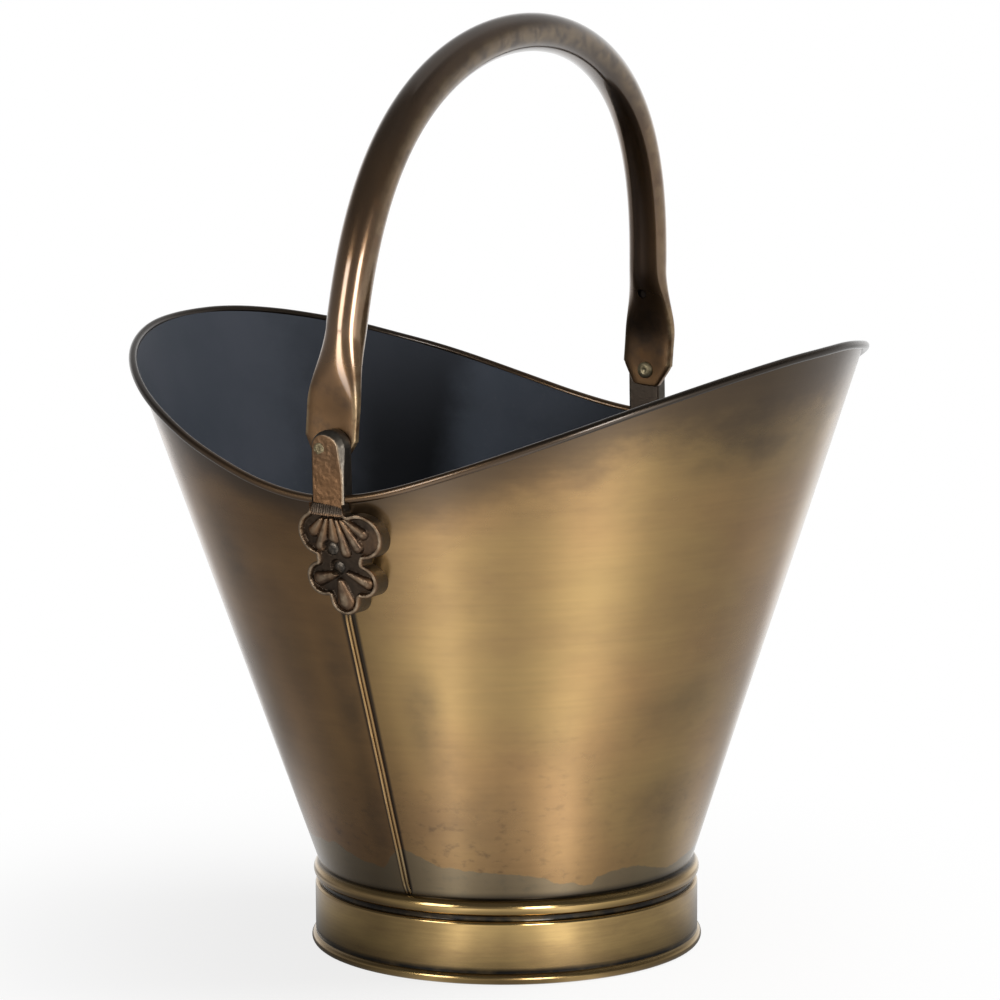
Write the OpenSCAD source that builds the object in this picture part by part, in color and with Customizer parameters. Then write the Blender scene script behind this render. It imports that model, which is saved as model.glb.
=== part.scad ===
// Coal scuttle: a flared two-sheet bucket with lips front and rear, on a banded foot,
// with a hollow bail handle that swings on rivets in two cast brackets.
// X points to the front lip, Y runs along the handle's pivots and Z is up. The origin is on the
// ground, midway between the lips.

/* [Body] */
// Outside diameter of the body where it enters the foot
throat_d = 187; // [160:1:220]
// Height of that throat above the ground
throat_h = 35; // [30:1:50]
// Angle of the body's wall from upright
flare = 18.67; // [14:0.1:22]
// How far the body stands tipped back on its foot, in degrees
lean = 0.82; // [0:0.1:2]
// Thickness of the body's sheet
sheet_t = 0.8; // [0.6:0.1:1.2]
// Height of the rim at the sides, along the body's axis
side_h = 252; // [230:1:280]
// Height of the front lip, along the body's axis
front_lip_h = 314; // [296:1:340]
// Height of the rear lip, along the body's axis
rear_lip_h = 316; // [296:1:340]
// Softness of the rim's dip at the sides: a larger value is rounder
dip = 22; // [15:1:50]

/* [Rim and seams] */
// Radius of the rolled rim
rim_roll_r = 2.1; // [2:0.1:2.6]
// How far the middle of the rolled rim stands outside the wall
rim_roll_out = 1; // [0.6:0.1:1.2]
// Width of the lapped hem at each seam
hem_w = 3.8; // [3:0.1:6]
// How far the hem stands off the wall
hem_t = 1.6; // [1.2:0.1:2.2]

/* [Floor] */
// How far the floor lies below the throat
floor_drop = 1; // [0:0.5:2]
// Height of the floor's turned-up edge
floor_edge = 8; // [5:0.5:12]

/* [Foot] */
// How far the foot's band stands outside the throat
band_out = 5; // [4:0.5:8]
// Thickness of the foot's strip
band_t = 0.9; // [0.7:0.1:1.2]
// Radius of the bead round the top of the foot
bead_r = 4.4; // [4:0.1:5.5]
// Radius of the rolled bottom edge
foot_roll_r = 2.8; // [2.4:0.1:3.2]
// How far the rolled bottom edge stands outside the band
foot_roll_out = 2; // [1:0.1:2.4]
// Depth of the flat worn on the bottom of the rolled edge
rest_flat = 0.1; // [0.05:0.05:0.3]

/* [Handle] */
// Height of the pivots above the rim at the sides
pivot_rise = 24.8; // [20:1:30]
// Height of the handle's middle line above the pivots
handle_rise = 190; // [180:1:215]
// How far below the pivots the arch's curve starts
arch_drop = 68; // [55:1:80]
// Squareness of the arch's shoulders: a smaller value is squarer
arch_power = 0.457; // [0.4:0.005:0.6]
// Diameter of the handle's tube across the arch
tube_w = 20.2; // [18:0.2:23]
// Diameter of the handle's tube in line with the arch
tube_h = 19.4; // [18:0.2:22]
// Wall thickness of the tube
tube_t = 1.2; // [1:0.1:1.6]
// Width of the flattened ends
flat_w = 28.6; // [26:0.2:32]
// Thickness of the flattened ends
flat_t = 5.6; // [5:0.1:6.5]
// Height above the pivots at which the flats end
flat_top = 18; // [16:1:22]
// Height above the pivots at which the tube is round again
round_top = 56; // [50:1:64]
// How far the legs stand inside the flattened ends
leg_in = 4.4; // [3:0.1:6]
// How far the flattened ends reach below the pivots
flat_end = 8.5; // [8:0.5:12]
// Width across the cut corners, at the bottom of the flattened ends
corner_w = 17.5; // [15:0.5:21]
// Diameter of the vent hole in the left leg
vent_d = 4.5; // [3:0.5:5]
// Height of the vent hole above the pivots
vent_rise = 42.5; // [40:0.5:48]
// Forward tilt of the handle as it stands, from the body's axis
rest_tilt = 5.2; // [0:0.1:10]

/* [Brackets] */
// Width of the bracket's upright tab
tab_w = 17.8; // [16:0.2:19]
// Thickness of the tab
tab_t = 8.6; // [8:0.1:10]
// How far the tab's foot sits below the rim at the sides
tab_foot = 5; // [4.4:0.2:8]
// How far the tab's inner face stands inside the wall at its foot
tab_inset = 3.4; // [2.4:0.1:4]
// How far the tab's middle stands to the right of the pivot, seen from outside
tab_shift = 4.4; // [0:0.1:5]
// How far the middle of the ornament stands to the right of the pivot
crest_shift = 9.6; // [6:0.1:11]
// How far the ornament is turned on the wall, in degrees, with its foot to the left
crest_turn = 2; // [0:0.5:6]
// Height of the ornament below the tab's foot
crest_h = 52.3; // [46:0.1:60]
// Thickness of the ornament at its top, square to the wall
crest_t = 6.8; // [6:0.1:8]
// How much thicker the ornament is at its foot
crest_swell = 5; // [3:0.5:7]
// Depth of the sunk field inside the ornament's raised border
crest_relief = 2; // [1:0.1:2.5]
// Width of the raised border
border_w = 2.2; // [1.6:0.1:2.8]

/* [Rivets] */
// Diameter of the pivot rivets' shanks
pivot_d = 5; // [4.5:0.1:6]
// Diameter of the pivot rivets' heads
pivot_head_d = 8; // [7:0.1:9]
// Height of the pivot rivets' heads
pivot_head_h = 2; // [1.5:0.1:2.5]
// Diameter of the bracket rivets' shanks
rivet_d = 3.8; // [3.2:0.1:4.2]
// Diameter of the bracket rivets' heads
rivet_head_d = 6.4; // [5.6:0.1:7]
// Height of the bracket rivets' heads
rivet_head_h = 1.7; // [1.2:0.1:2]

/* [Fits] */
// Gap between sheets, castings and rivets that are fixed together
seat_gap = 0.05; // [0.03:0.01:0.08]
// Clearance all round the pivot rivets in the handle
pivot_gap = 0.08; // [0.05:0.01:0.1]
// Gap on each side of the handle's flattened ends
side_gap = 0.3; // [0.2:0.05:0.4]
// Clearance between the tabs and the rolled rim's ends
notch_gap = 0.2; // [0.1:0.05:0.3]

/* [Hidden] */
$fn = 96;

far = 400;              // larger than the whole object, for cutting tools
throat_r = throat_d / 2;

// body
shell_foot = throat_h - 3;                  // bottom edge of the sheets, hidden in the foot
rim_wire_r = rim_roll_r - sheet_t - seat_gap;
rim_steps = 44;                             // rings along each half of the rolled rim
trim_step = 8;                              // spacing of the points on the sheet's cut edge
// The sheet is cut where its middle meets the middle of the roll's own thickness
trim_in = rim_roll_out * cos(flare) + sheet_t / 2;
trim_drop = sqrt(max(0.1, pow(rim_roll_r - sheet_t / 2, 2) - trim_in * trim_in)) * cos(flare)
    - rim_roll_out * cos(flare) * sin(flare);
hem_top = side_h - tab_foot - crest_h - 0.2; // the hems end under the brackets' lowest lobes
hem_foot = throat_h + 8;

// foot
band_r = throat_r + band_out;
band_top = throat_h - 3.5;
band_foot = 8.5;
shoulder_r = 1.5;                           // rounding of the band's upper edge
groove_r = throat_r + 2.4;                  // wall of the groove under the bead
bead_z = throat_h + 3.3;
bead_x = throat_r + 1.4;
roll_x = band_r + foot_roll_out - foot_roll_r;
roll_z = foot_roll_r - rest_flat;
foot_wire_r = foot_roll_r - band_t - seat_gap;

// handle and brackets
pivot_z = side_h + pivot_rise;
tab_foot_z = side_h - tab_foot;
tab_in = wall_r(tab_foot_z) - tab_inset;
tab_out = tab_in + tab_t;
flat_y = tab_in - side_gap - flat_t / 2;
arch_w = flat_y - leg_in;
arch_h = handle_rise + arch_drop;
bore_r = pivot_d / 2 + pivot_gap;
eye_r = pivot_d / 2 + seat_gap / 2;
rivet_bore_r = rivet_d / 2 + seat_gap / 2;
crest_u = crest_h / 52.3;                   // the ornament is drawn 52.3 units high
rivet_at = [for (p = [[3, 18.5], [4.8, 28.1]]) [p[0] * crest_u, tab_foot_z - p[1] * crest_u]];
crest_top = tab_foot_z + 3.5;
crest_foot = tab_foot_z - crest_h - 4.2;
leg_steps = 8;
arch_steps = 17;
end_steps = 11;                             // points round each end of the tube's section
corner_start = 3.4;                         // height above the pivots where the corners start

// Radius of the wall at height z, and off millimetres outside its outer face
function wall_r(z, off = 0) = throat_r + (z - throat_h) * tan(flare) + off / cos(flare);

// Height of the rim at x, on the body's axis: a hyperbola that meets both lips
function lip_rise(x) = (x >= 0 ? front_lip_h : rear_lip_h) - side_h;
function lip_slope2(x) =
    (pow(lip_rise(x) + dip, 2) - dip * dip) / pow(wall_r(side_h + lip_rise(x)), 2);
function rim_z(x) = side_h + sqrt(dip * dip + lip_slope2(x) * x * x) - dip;

// Height at which the wall meets the rim in the direction a, by repeated substitution
function rim_meet(a, z, n = 8) = n == 0 ? z : rim_meet(a, rim_z(wall_r(z) * cos(a)), n - 1);
function rim_point(a) =
    let (z = rim_meet(a, side_h), r = wall_r(z) + rim_roll_out)
    [r * cos(a), r * sin(a), z];

// How far the foot's axis stands in front of the middle between the lips
function tipped_x(p) = p[0] * cos(lean) - (p[2] - throat_h) * sin(lean);
foot_x = -(tipped_x(rim_point(0)) + tipped_x(rim_point(180))) / 2;

function unit(v) = v / norm(v);
function smooth(t) = t <= 0 ? 0 : t >= 1 ? 1 : t * t * (3 - 2 * t);

// A ring of m points of radius r, square to the path at the direction a
function rim_ring(a, r, m) =
    let (t = unit(rim_point(a + 0.5) - rim_point(a - 0.5)),
         out = [cos(a), sin(a), 0],
         u = unit(out - (out * t) * t),
         v = cross(u, t))
    [for (j = [0:m - 1]) rim_point(a) + r * (cos(360 * j / m) * u + sin(360 * j / m) * v)];

// Directions in which each half of the rolled rim starts and ends, beside the tabs
function beside(x) = acos(x / wall_r(side_h));
tab_edge = tab_w / 2 + notch_gap;
front_arc = [-beside(tab_shift + tab_edge), beside(tab_edge - tab_shift)];
rear_arc = [beside(-tab_shift - tab_edge), 360 - beside(tab_shift - tab_edge)];
function along(arc, n) = [for (i = [0:n]) arc[0] + (arc[1] - arc[0]) * i / n];

// ---- shared shapes ----

// The foot's frame
module on_foot() {
    translate([foot_x, 0, 0]) children();
}

// The body's own frame, tipped back about the throat
module leaned() {
    translate([foot_x, 0, throat_h]) rotate([0, -lean, 0]) translate([0, 0, -throat_h])
        children();
}

// Turns what stands on the right of the bucket round to the left
module on_left() {
    rotate([0, 0, 180]) children();
}

module flare_solid(off, z0, z1) {
    translate([0, 0, z0]) cylinder(h = z1 - z0, r1 = wall_r(z0, off), r2 = wall_r(z1, off));
}

// Everything between two distances from the wall's outer face
module wall_layer(from, to, z0, z1) {
    difference() {
        flare_solid(to, z0, z1);
        flare_solid(from, z0 - 1, z1 + 1);
    }
}

// A solid through a list of rings, all with the same number of points
module swept(rings) {
    n = len(rings);
    m = len(rings[0]);
    polyhedron(
        points = [for (r = rings) each r],
        faces = concat(
            [for (i = [0:n - 2], j = [0:m - 1]) let (k = (j + 1) % m)
                [i * m + j, i * m + k, (i + 1) * m + j]],
            [for (i = [0:n - 2], j = [0:m - 1]) let (k = (j + 1) % m)
                [i * m + k, (i + 1) * m + k, (i + 1) * m + j]],
            [[for (j = [m - 1:-1:0]) j]],
            [[for (j = [0:m - 1]) (n - 1) * m + j]]));
}

// The same with a bore: outer and inner rings with the same counts
module swept_tube(outer, inner) {
    n = len(outer);
    m = len(outer[0]);
    b = n * m;
    polyhedron(
        points = concat([for (r = outer) each r], [for (r = inner) each r]),
        faces = concat(
            [for (i = [0:n - 2], j = [0:m - 1]) let (k = (j + 1) % m)
                [i * m + j, i * m + k, (i + 1) * m + j]],
            [for (i = [0:n - 2], j = [0:m - 1]) let (k = (j + 1) % m)
                [i * m + k, (i + 1) * m + k, (i + 1) * m + j]],
            [for (i = [0:n - 2], j = [0:m - 1]) let (k = (j + 1) % m)
                [b + i * m + j, b + (i + 1) * m + j, b + i * m + k]],
            [for (i = [0:n - 2], j = [0:m - 1]) let (k = (j + 1) % m)
                [b + i * m + k, b + (i + 1) * m + j, b + (i + 1) * m + k]],
            [for (j = [0:m - 1]) let (k = (j + 1) % m) [j, b + j, b + k, k]],
            [for (j = [0:m - 1]) let (k = (j + 1) % m, e = (n - 1) * m)
                [e + j, e + k, b + e + k, b + e + j]]));
}

// A domed rivet head, standing on Z = 0
module dome(r, h) {
    ball = (r * r + h * h) / (2 * h);
    intersection() {
        translate([0, 0, h - ball]) sphere(ball);
        cylinder(h = h, r = r);
    }
}

// A set rivet along Z: its head stands on Z = grip and its tail under Z = 0
module rivet(r, grip, head_r, head_h, tail_r, tail_h) {
    translate([0, 0, -tail_h / 2]) cylinder(h = grip + (tail_h + head_h) / 2, r = r);
    translate([0, 0, grip]) dome(head_r, head_h);
    mirror([0, 0, 1]) dome(tail_r, tail_h);
}

// ---- body ----

// Space under the cut edge of the sheets, seen from the side
module under_rim() {
    reach = wall_r(max(front_lip_h, rear_lip_h)) + trim_step;
    n = ceil(reach / trim_step);
    edge = [for (i = [-n:n]) [i * trim_step, rim_z(i * trim_step) - trim_drop]];
    rotate([90, 0, 0]) linear_extrude(2 * far, center = true)
        polygon(concat([[-n * trim_step, 0]], edge, [[n * trim_step, 0]]));
}

module tab_notch() {
    translate([tab_shift - tab_edge, -far, tab_foot_z - notch_gap / 2])
        cube([2 * tab_edge, far, far]);
}

// Puts a piece square on the wall at a rivet's place [x, z]
module on_wall(p) {
    rotate([0, 0, asin(p[0] / wall_r(p[1]))]) translate([0, -wall_r(p[1]), p[1]])
        rotate([90 + flare, 0, 0]) children();
}

module rivet_bores() {
    for (p = rivet_at) on_wall(p) cylinder(h = 4 * crest_t, r = rivet_bore_r, center = true);
}

// Half of the body's sheet with its half of the rolled rim; side is 1 at the front, -1 at the rear
module half_sheet(side, arc) {
    difference() {
        intersection() {
            wall_layer(-sheet_t, 0, shell_foot, max(front_lip_h, rear_lip_h) + rim_roll_r);
            under_rim();
            translate([side > 0 ? seat_gap : -far, -far, 0]) cube([far, 2 * far, far]);
        }
        tab_notch();
        on_left() tab_notch();
        rivet_bores();
        on_left() rivet_bores();
    }
    swept_tube([for (a = along(arc, rim_steps)) rim_ring(a, rim_roll_r, 12)],
               [for (a = along(arc, rim_steps)) rim_ring(a, rim_roll_r - sheet_t, 12)]);
}

// Folded hem that laps from the rear sheet over the front sheet
module hem() {
    intersection() {
        wall_layer(-sheet_t / 2, hem_t, hem_foot, hem_top);
        translate([-hem_w / 2, -far, 0]) cube([hem_w / 2, far, far]);
    }
    intersection() {
        wall_layer(seat_gap, hem_t, hem_foot, hem_top);
        translate([-seat_gap, -far, 0]) cube([hem_w / 2 + seat_gap, far, far]);
    }
}

module front_shell() {
    color("darkgoldenrod") leaned() half_sheet(1, front_arc);
}

module rear_shell() {
    color("goldenrod") leaned() {
        half_sheet(-1, rear_arc);
        hem();
        mirror([0, 1, 0]) hem();
    }
}

module rim_wire(arc) {
    leaned() swept([for (a = along(arc, rim_steps)) rim_ring(a, rim_wire_r, 12)]);
}

module front_rim_wire() {
    color("gray") rim_wire(front_arc);
}

module rear_rim_wire() {
    color("gray") rim_wire(rear_arc);
}

// Dished floor: a disc with a turned-up edge that is soldered inside the wall
module floor_pan() {
    z = throat_h - floor_drop;
    inside = -sheet_t - seat_gap;
    color("dimgray") leaned() difference() {
        flare_solid(inside, z, z + floor_edge);
        flare_solid(inside - sheet_t, z + sheet_t, z + floor_edge + 1);
    }
}

// ---- foot ----

// Section of the foot's strip, from the rolled bottom edge up to the bead
module foot_section() {
    difference() {
        translate([roll_x, roll_z]) circle(foot_roll_r);
        translate([roll_x, roll_z]) circle(foot_roll_r - band_t);
        translate([0, -far]) square([far, far]);
    }
    difference() {
        polygon([[roll_x, 2 * foot_roll_r - 1], [roll_x + band_t, 2 * foot_roll_r - 1],
                 [band_r, band_foot], [band_r, band_top - shoulder_r],
                 [band_r - band_t, band_top - shoulder_r], [band_r - band_t, band_foot]]);
        translate([roll_x, roll_z]) circle(foot_roll_r - band_t / 2);
    }
    difference() {
        intersection() {
            translate([band_r - shoulder_r, band_top - shoulder_r]) circle(shoulder_r);
            translate([band_r - shoulder_r, band_top - shoulder_r]) square(shoulder_r);
        }
        translate([band_r - shoulder_r, band_top - shoulder_r]) circle(shoulder_r - band_t);
    }
    translate([groove_r - band_t, band_top - band_t])
        square([band_r - shoulder_r - groove_r + band_t, band_t]);
    translate([groove_r - band_t, band_top - band_t])
        square([band_t, bead_z - bead_r - band_top + 2 * band_t]);
    difference() {
        translate([bead_x, bead_z]) circle(bead_r);
        translate([bead_x, bead_z]) circle(bead_r - band_t);
    }
}

module foot_band() {
    color("peru") difference() {
        on_foot() rotate_extrude() foot_section();
        leaned() flare_solid(seat_gap, shell_foot - 1, throat_h + 2 * bead_r + band_foot);
    }
}

module foot_wire() {
    color("gray") on_foot() rotate_extrude() translate([roll_x, roll_z]) circle(foot_wire_r);
}

// ---- brackets ----

// Outline of the ornament below the tab: two pairs of lobes and one at the bottom,
// drawn from the tab's foot downward, all drawn in by inset
module crest_outline(inset) {
    lobes = [[12.2, -12, 11.2], [9.8, -34.2, 8.4], [0, -45, 7.3]] * crest_u;
    sides = [[14.2, -2], [12.6, -19], [11.5, -29], [7.3, -45]] * crest_u;
    for (lobe = lobes, side = [-1, 1])
        translate([side * lobe[0], lobe[1]]) circle(lobe[2] - inset);
    polygon(concat([for (p = sides) [p[0] - inset, p[1] - (p == sides[0] ? inset : 0)]],
                   [for (i = [len(sides) - 1:-1:0]) let (p = sides[i])
                       [inset - p[0], p[1] - (i == 0 ? inset : 0)]]));
}

// Petals that spread downward from a height, as long drops
module petals(count, spread, height, near, reach, fat) {
    scale(crest_u) translate([0, height]) for (i = [0:count - 1])
        rotate(spread * (i / (count - 1) - 0.5)) {
            translate([0, -reach]) circle(fat);
            polygon([[-fat / 3, -near], [fat / 3, -near], [fat, -reach], [-fat, -reach]]);
        }
}

// Everything behind a front that stands off the wall at the top and swells toward the foot
module crest_front(off) {
    translate([0, 0, crest_foot])
        cylinder(h = crest_top - crest_foot, r1 = wall_r(crest_foot, off + crest_swell),
                 r2 = wall_r(crest_top, off));
}

// A flat outline stretched from the middle of the bucket out through the wall
module crest_plan() {
    translate([crest_shift, 0, tab_foot_z]) rotate([90, 0, 0]) linear_extrude(far)
        rotate(-crest_turn) children();
}

// A layer of the ornament: its back follows the wall at a distance of from
module crest_layer(from, to) {
    intersection() {
        difference() {
            crest_front(to);
            flare_solid(from, crest_foot - 1, crest_top + 1);
        }
        crest_plan() children();
    }
}

// Everything in front of the sunk field
module crest_cut() {
    intersection() {
        difference() {
            crest_front(3 * crest_t);
            crest_front(crest_t - crest_relief);
        }
        crest_plan() children();
    }
}

module bracket() {
    difference() {
        union() {
            translate([tab_shift, -tab_in, 0]) rotate([90, 0, 0]) linear_extrude(tab_t) {
                translate([0, pivot_z]) circle(tab_w / 2);
                translate([-tab_w / 2, tab_foot_z]) square([tab_w, pivot_rise + tab_foot]);
            }
            difference() {
                crest_layer(seat_gap, crest_t) {
                    crest_outline(0);
                    translate([tab_shift - crest_shift - tab_w / 2, -10])
                        square([tab_w, 10 + crest_top - tab_foot_z]);
                }
                crest_cut() crest_outline(border_w);
            }
            crest_layer(crest_t - 2 * crest_relief, crest_t - crest_relief / 4) {
                petals(5, 116, 1, 5, 15, 2.4);
                petals(3, 124, -30, 4, 9.6, 2.7);
            }
        }
        translate([0, -tab_out, pivot_z]) rotate([90, 0, 0])
            cylinder(h = 4 * tab_t, r = eye_r, center = true);
        rivet_bores();
        for (p = rivet_at) on_wall(p)
            translate([0, 0, crest_t - crest_relief - seat_gap])
                cylinder(h = crest_t, r = rivet_head_d / 2 + seat_gap);
    }
}

module right_bracket() {
    color("saddlebrown") leaned() bracket();
}

module left_bracket() {
    color("saddlebrown") leaned() on_left() bracket();
}

// Rivets through the ornament and the wall, with their tails inside the bucket
module bracket_rivets() {
    grip = crest_t - crest_relief + sheet_t + 2 * seat_gap;
    for (p = rivet_at) on_wall(p) translate([0, 0, -sheet_t - 2 * seat_gap])
        rivet(rivet_d / 2, grip, rivet_head_d / 2, rivet_head_h, rivet_head_d / 2, rivet_head_h / 2);
}

module right_bracket_rivets() {
    color("darkslategray") leaned() bracket_rivets();
}

module left_bracket_rivets() {
    color("darkslategray") leaned() on_left() bracket_rivets();
}

// Pivot rivet: its head lies inside the handle's eye and its tail is hammered over the tab
module pivot_rivet() {
    head_y = flat_y - flat_t / 2 - side_gap / 2;
    grip = tab_out + seat_gap - head_y;
    translate([0, -tab_out - seat_gap, pivot_z]) rotate([-90, 0, 0])
        rivet(pivot_d / 2, grip, pivot_head_d / 2, pivot_head_h, pivot_d / 2 + 0.6, pivot_head_h / 2);
}

module right_pivot_rivet() {
    color("khaki") leaned() pivot_rivet();
}

module left_pivot_rivet() {
    color("khaki") leaned() on_left() pivot_rivet();
}

// ---- handle ----

// Distance of the arch's middle line from the middle, at height w above the pivots
function arch_y(w) = arch_w * cos(asin(pow((w + arch_drop) / arch_h, 1 / arch_power)));

// 1 in the flattened ends, 0 where the tube is round
function flatness(w) = smooth((round_top - w) / (round_top - flat_top));
function leg_point(w) = [arch_y(w) + (flat_y - arch_y(w)) * flatness(w), w];
leg_angle = asin(pow((round_top + arch_drop) / arch_h, 1 / arch_power));

// Middle line of one leg from its end to the crown, as [distance from the middle, height]
half_line = concat(
    [[flat_y, -flat_end], [flat_y, 0], [flat_y, flat_top]],
    [for (i = [1:leg_steps]) leg_point(flat_top + (round_top - flat_top) * i / leg_steps)],
    [for (i = [1:arch_steps]) let (a = leg_angle + (90 - leg_angle) * i / arch_steps)
        [arch_w * cos(a), arch_h * pow(sin(a), arch_power) - arch_drop]]);
crown = len(half_line) - 1;
handle_line = concat([for (p = half_line) [-p[0], p[1]]], [for (i = [crown - 1:-1:0]) half_line[i]]);

// Section of the tube at one point of the line: two round ends joined by flat sides,
// drawn in by inset, as a ring square to the line
function tube_ring(i, inset) =
    let (last = len(handle_line) - 1,
         p = handle_line[i],
         d = handle_line[min(i + 1, last)] - handle_line[max(i - 1, 0)],
         t = unit([0, d[0], d[1]]),
         v = cross([1, 0, 0], t),
         f = flatness(p[1]),
         across = tube_w / 2 + (flat_w - tube_w) / 2 * f - inset,
         thick = tube_h / 2 + (flat_t - tube_h) / 2 * f - inset)
    [for (side = [1, -1], k = [0:end_steps])
        let (a = -90 + 180 * k / end_steps)
        [0, p[0], p[1]]
            + side * (across - thick + thick * cos(a)) * [1, 0, 0]
            + side * thick * sin(a) * v];

module handle_frame() {
    translate([0, 0, pivot_z]) rotate([0, rest_tilt, 0]) children();
}

// Cuts that take off the corners at the bottom of the flattened ends
module flat_corners() {
    drop = 0.7 * flat_end;
    slope = atan2(drop + corner_start, (flat_w - corner_w) / 2);
    for (side = [-1, 1])
        translate([side * corner_w / 2, 0, -drop]) rotate([0, -side * slope, 0])
            translate([-flat_w, -far, -flat_w]) cube([2 * flat_w, 2 * far, flat_w]);
}

module handle() {
    last = len(handle_line) - 1;
    solid_ends = 5;
    color("sienna") leaned() handle_frame() difference() {
        swept([for (i = [0:last]) tube_ring(i, 0)]);
        swept([for (i = [solid_ends:last - solid_ends]) tube_ring(i, tube_t)]);
        flat_corners();
        rotate([90, 0, 0]) cylinder(h = far, r = bore_r, center = true);
        translate([0, arch_y(vent_rise) - tube_h / 2, vent_rise]) rotate([90, 0, 0])
            cylinder(h = tube_h, r = vent_d / 2, center = true);
    }
}

front_shell();
rear_shell();
front_rim_wire();
rear_rim_wire();
floor_pan();
foot_band();
foot_wire();
right_bracket();
left_bracket();
right_bracket_rivets();
left_bracket_rivets();
right_pivot_rivet();
left_pivot_rivet();
handle();
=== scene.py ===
import math

import bmesh
import bpy
import numpy as np
from mathutils import Matrix, Vector, noise


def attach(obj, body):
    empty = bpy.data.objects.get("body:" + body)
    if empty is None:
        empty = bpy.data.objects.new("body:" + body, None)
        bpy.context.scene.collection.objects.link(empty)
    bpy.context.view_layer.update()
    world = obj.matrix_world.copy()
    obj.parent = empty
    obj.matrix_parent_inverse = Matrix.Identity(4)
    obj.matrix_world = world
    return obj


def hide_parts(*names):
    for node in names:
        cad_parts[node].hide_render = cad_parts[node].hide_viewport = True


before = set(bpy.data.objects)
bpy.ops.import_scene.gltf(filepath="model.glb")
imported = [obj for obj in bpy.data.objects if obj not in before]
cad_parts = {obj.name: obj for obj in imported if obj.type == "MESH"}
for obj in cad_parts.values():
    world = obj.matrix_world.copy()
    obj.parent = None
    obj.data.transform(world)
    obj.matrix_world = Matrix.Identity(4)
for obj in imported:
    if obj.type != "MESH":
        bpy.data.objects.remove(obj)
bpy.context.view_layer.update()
mm = 0.001

# sizes in millimetres, in the body's own frame: upright cone, tipped back by lean on its foot
body = {
    "throatR": 93.5, "throatH": 35.0, "flare": math.radians(18.67), "lean": math.radians(0.82),
    "footX": 4.345, "sheetT": 0.8, "sheetFoot": 32.0, "sideH": 252.0, "frontLip": 314.0,
    "rearLip": 316.0, "dip": 22.0, "rollR": 2.1, "rollOut": 1.0, "trimDrop": 0.68,
    "notchFoot": 246.9, "columns": 300, "rows": 64, "edgeColumns": 6, "edgeStep": 0.012,
    "dent": 0.16, "dentTurns": 2.2, "dentHeight": 90.0, "wave": 0.45, "waveTurns": 5.0,
    "rollPoints": 260, "rollSides": 28, "sheetSharp": 40.0, "rollSharp": 50.0,
    # where each sheet's rolled edge starts and ends, in degrees, and half the gap between sheets
    "frontArc": (-85.36, 88.39), "rearArc": (94.64, 268.39), "halfGap": 0.02,
}
slope = math.tan(body["flare"])
tilt = math.cos(body["flare"])


def wallR(z, off=0.0):
    return body["throatR"] + (z - body["throatH"]) * slope + off / tilt


def rimZ(x):
    lip = body["frontLip"] if x >= 0 else body["rearLip"]
    rise = lip - body["sideH"]
    squared = ((rise + body["dip"]) ** 2 - body["dip"] ** 2) / wallR(lip) ** 2
    return body["sideH"] + math.sqrt(body["dip"] ** 2 + squared * x * x) - body["dip"]


def rimHeight(angle):
    z = body["sideH"]
    for _ in range(9):
        z = rimZ(wallR(z) * math.cos(angle))
    return z


def rimPoint(angle):
    z = rimHeight(angle)
    r = wallR(z) + body["rollOut"]
    return Vector((r * math.cos(angle), r * math.sin(angle), z))


def toWorld(points):  # body frame in millimetres to the row frame in metres
    p = np.asarray(points, float).reshape(-1, 3)
    c, s = math.cos(body["lean"]), math.sin(body["lean"])
    z = p[:, 2] - body["throatH"]
    return np.stack([p[:, 0] * c - z * s + body["footX"], p[:, 1],
                     p[:, 0] * s + z * c + body["throatH"]], 1) * mm


def toBody(points):
    p = np.asarray(points, float).reshape(-1, 3) / mm
    c, s = math.cos(body["lean"]), math.sin(body["lean"])
    x, z = p[:, 0] - body["footX"], p[:, 2] - body["throatH"]
    return np.stack([x * c + z * s, p[:, 1], -x * s + z * c + body["throatH"]], 1)


def linked(name, data):
    made = bpy.data.objects.new(name, data)
    bpy.context.scene.collection.objects.link(made)
    return made


def meshPiece(name, points, faces, materials=(), faceSlots=None, sharp=35.0):
    mesh = bpy.data.meshes.new(name)
    mesh.from_pydata([tuple(p) for p in points], [], [tuple(f) for f in faces])
    for material in materials:
        mesh.materials.append(material)
    if faceSlots is not None:
        mesh.polygons.foreach_set("material_index", np.asarray(faceSlots, np.int32))
    cleanMesh(mesh, sharp)
    return linked(name, mesh)


def cleanMesh(mesh, sharp=35.0):
    bm = bmesh.new()
    bm.from_mesh(mesh)
    bmesh.ops.remove_doubles(bm, verts=bm.verts, dist=1e-6)
    bmesh.ops.dissolve_degenerate(bm, edges=bm.edges, dist=1e-7)
    bmesh.ops.recalc_face_normals(bm, faces=bm.faces)
    bm.to_mesh(mesh)
    bm.free()
    mesh.shade_smooth()
    mesh.set_sharp_from_angle(angle=math.radians(sharp))
    mesh.update()


def floatAttribute(mesh, name, values):
    layer = mesh.attributes.get(name) or mesh.attributes.new(name, "FLOAT", "POINT")
    layer.data.foreach_set("value", np.asarray(values, np.float32))


def vertexPlaces(mesh):
    co = np.zeros(len(mesh.vertices) * 3)
    mesh.vertices.foreach_get("co", co)
    return co.reshape(-1, 3)


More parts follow.
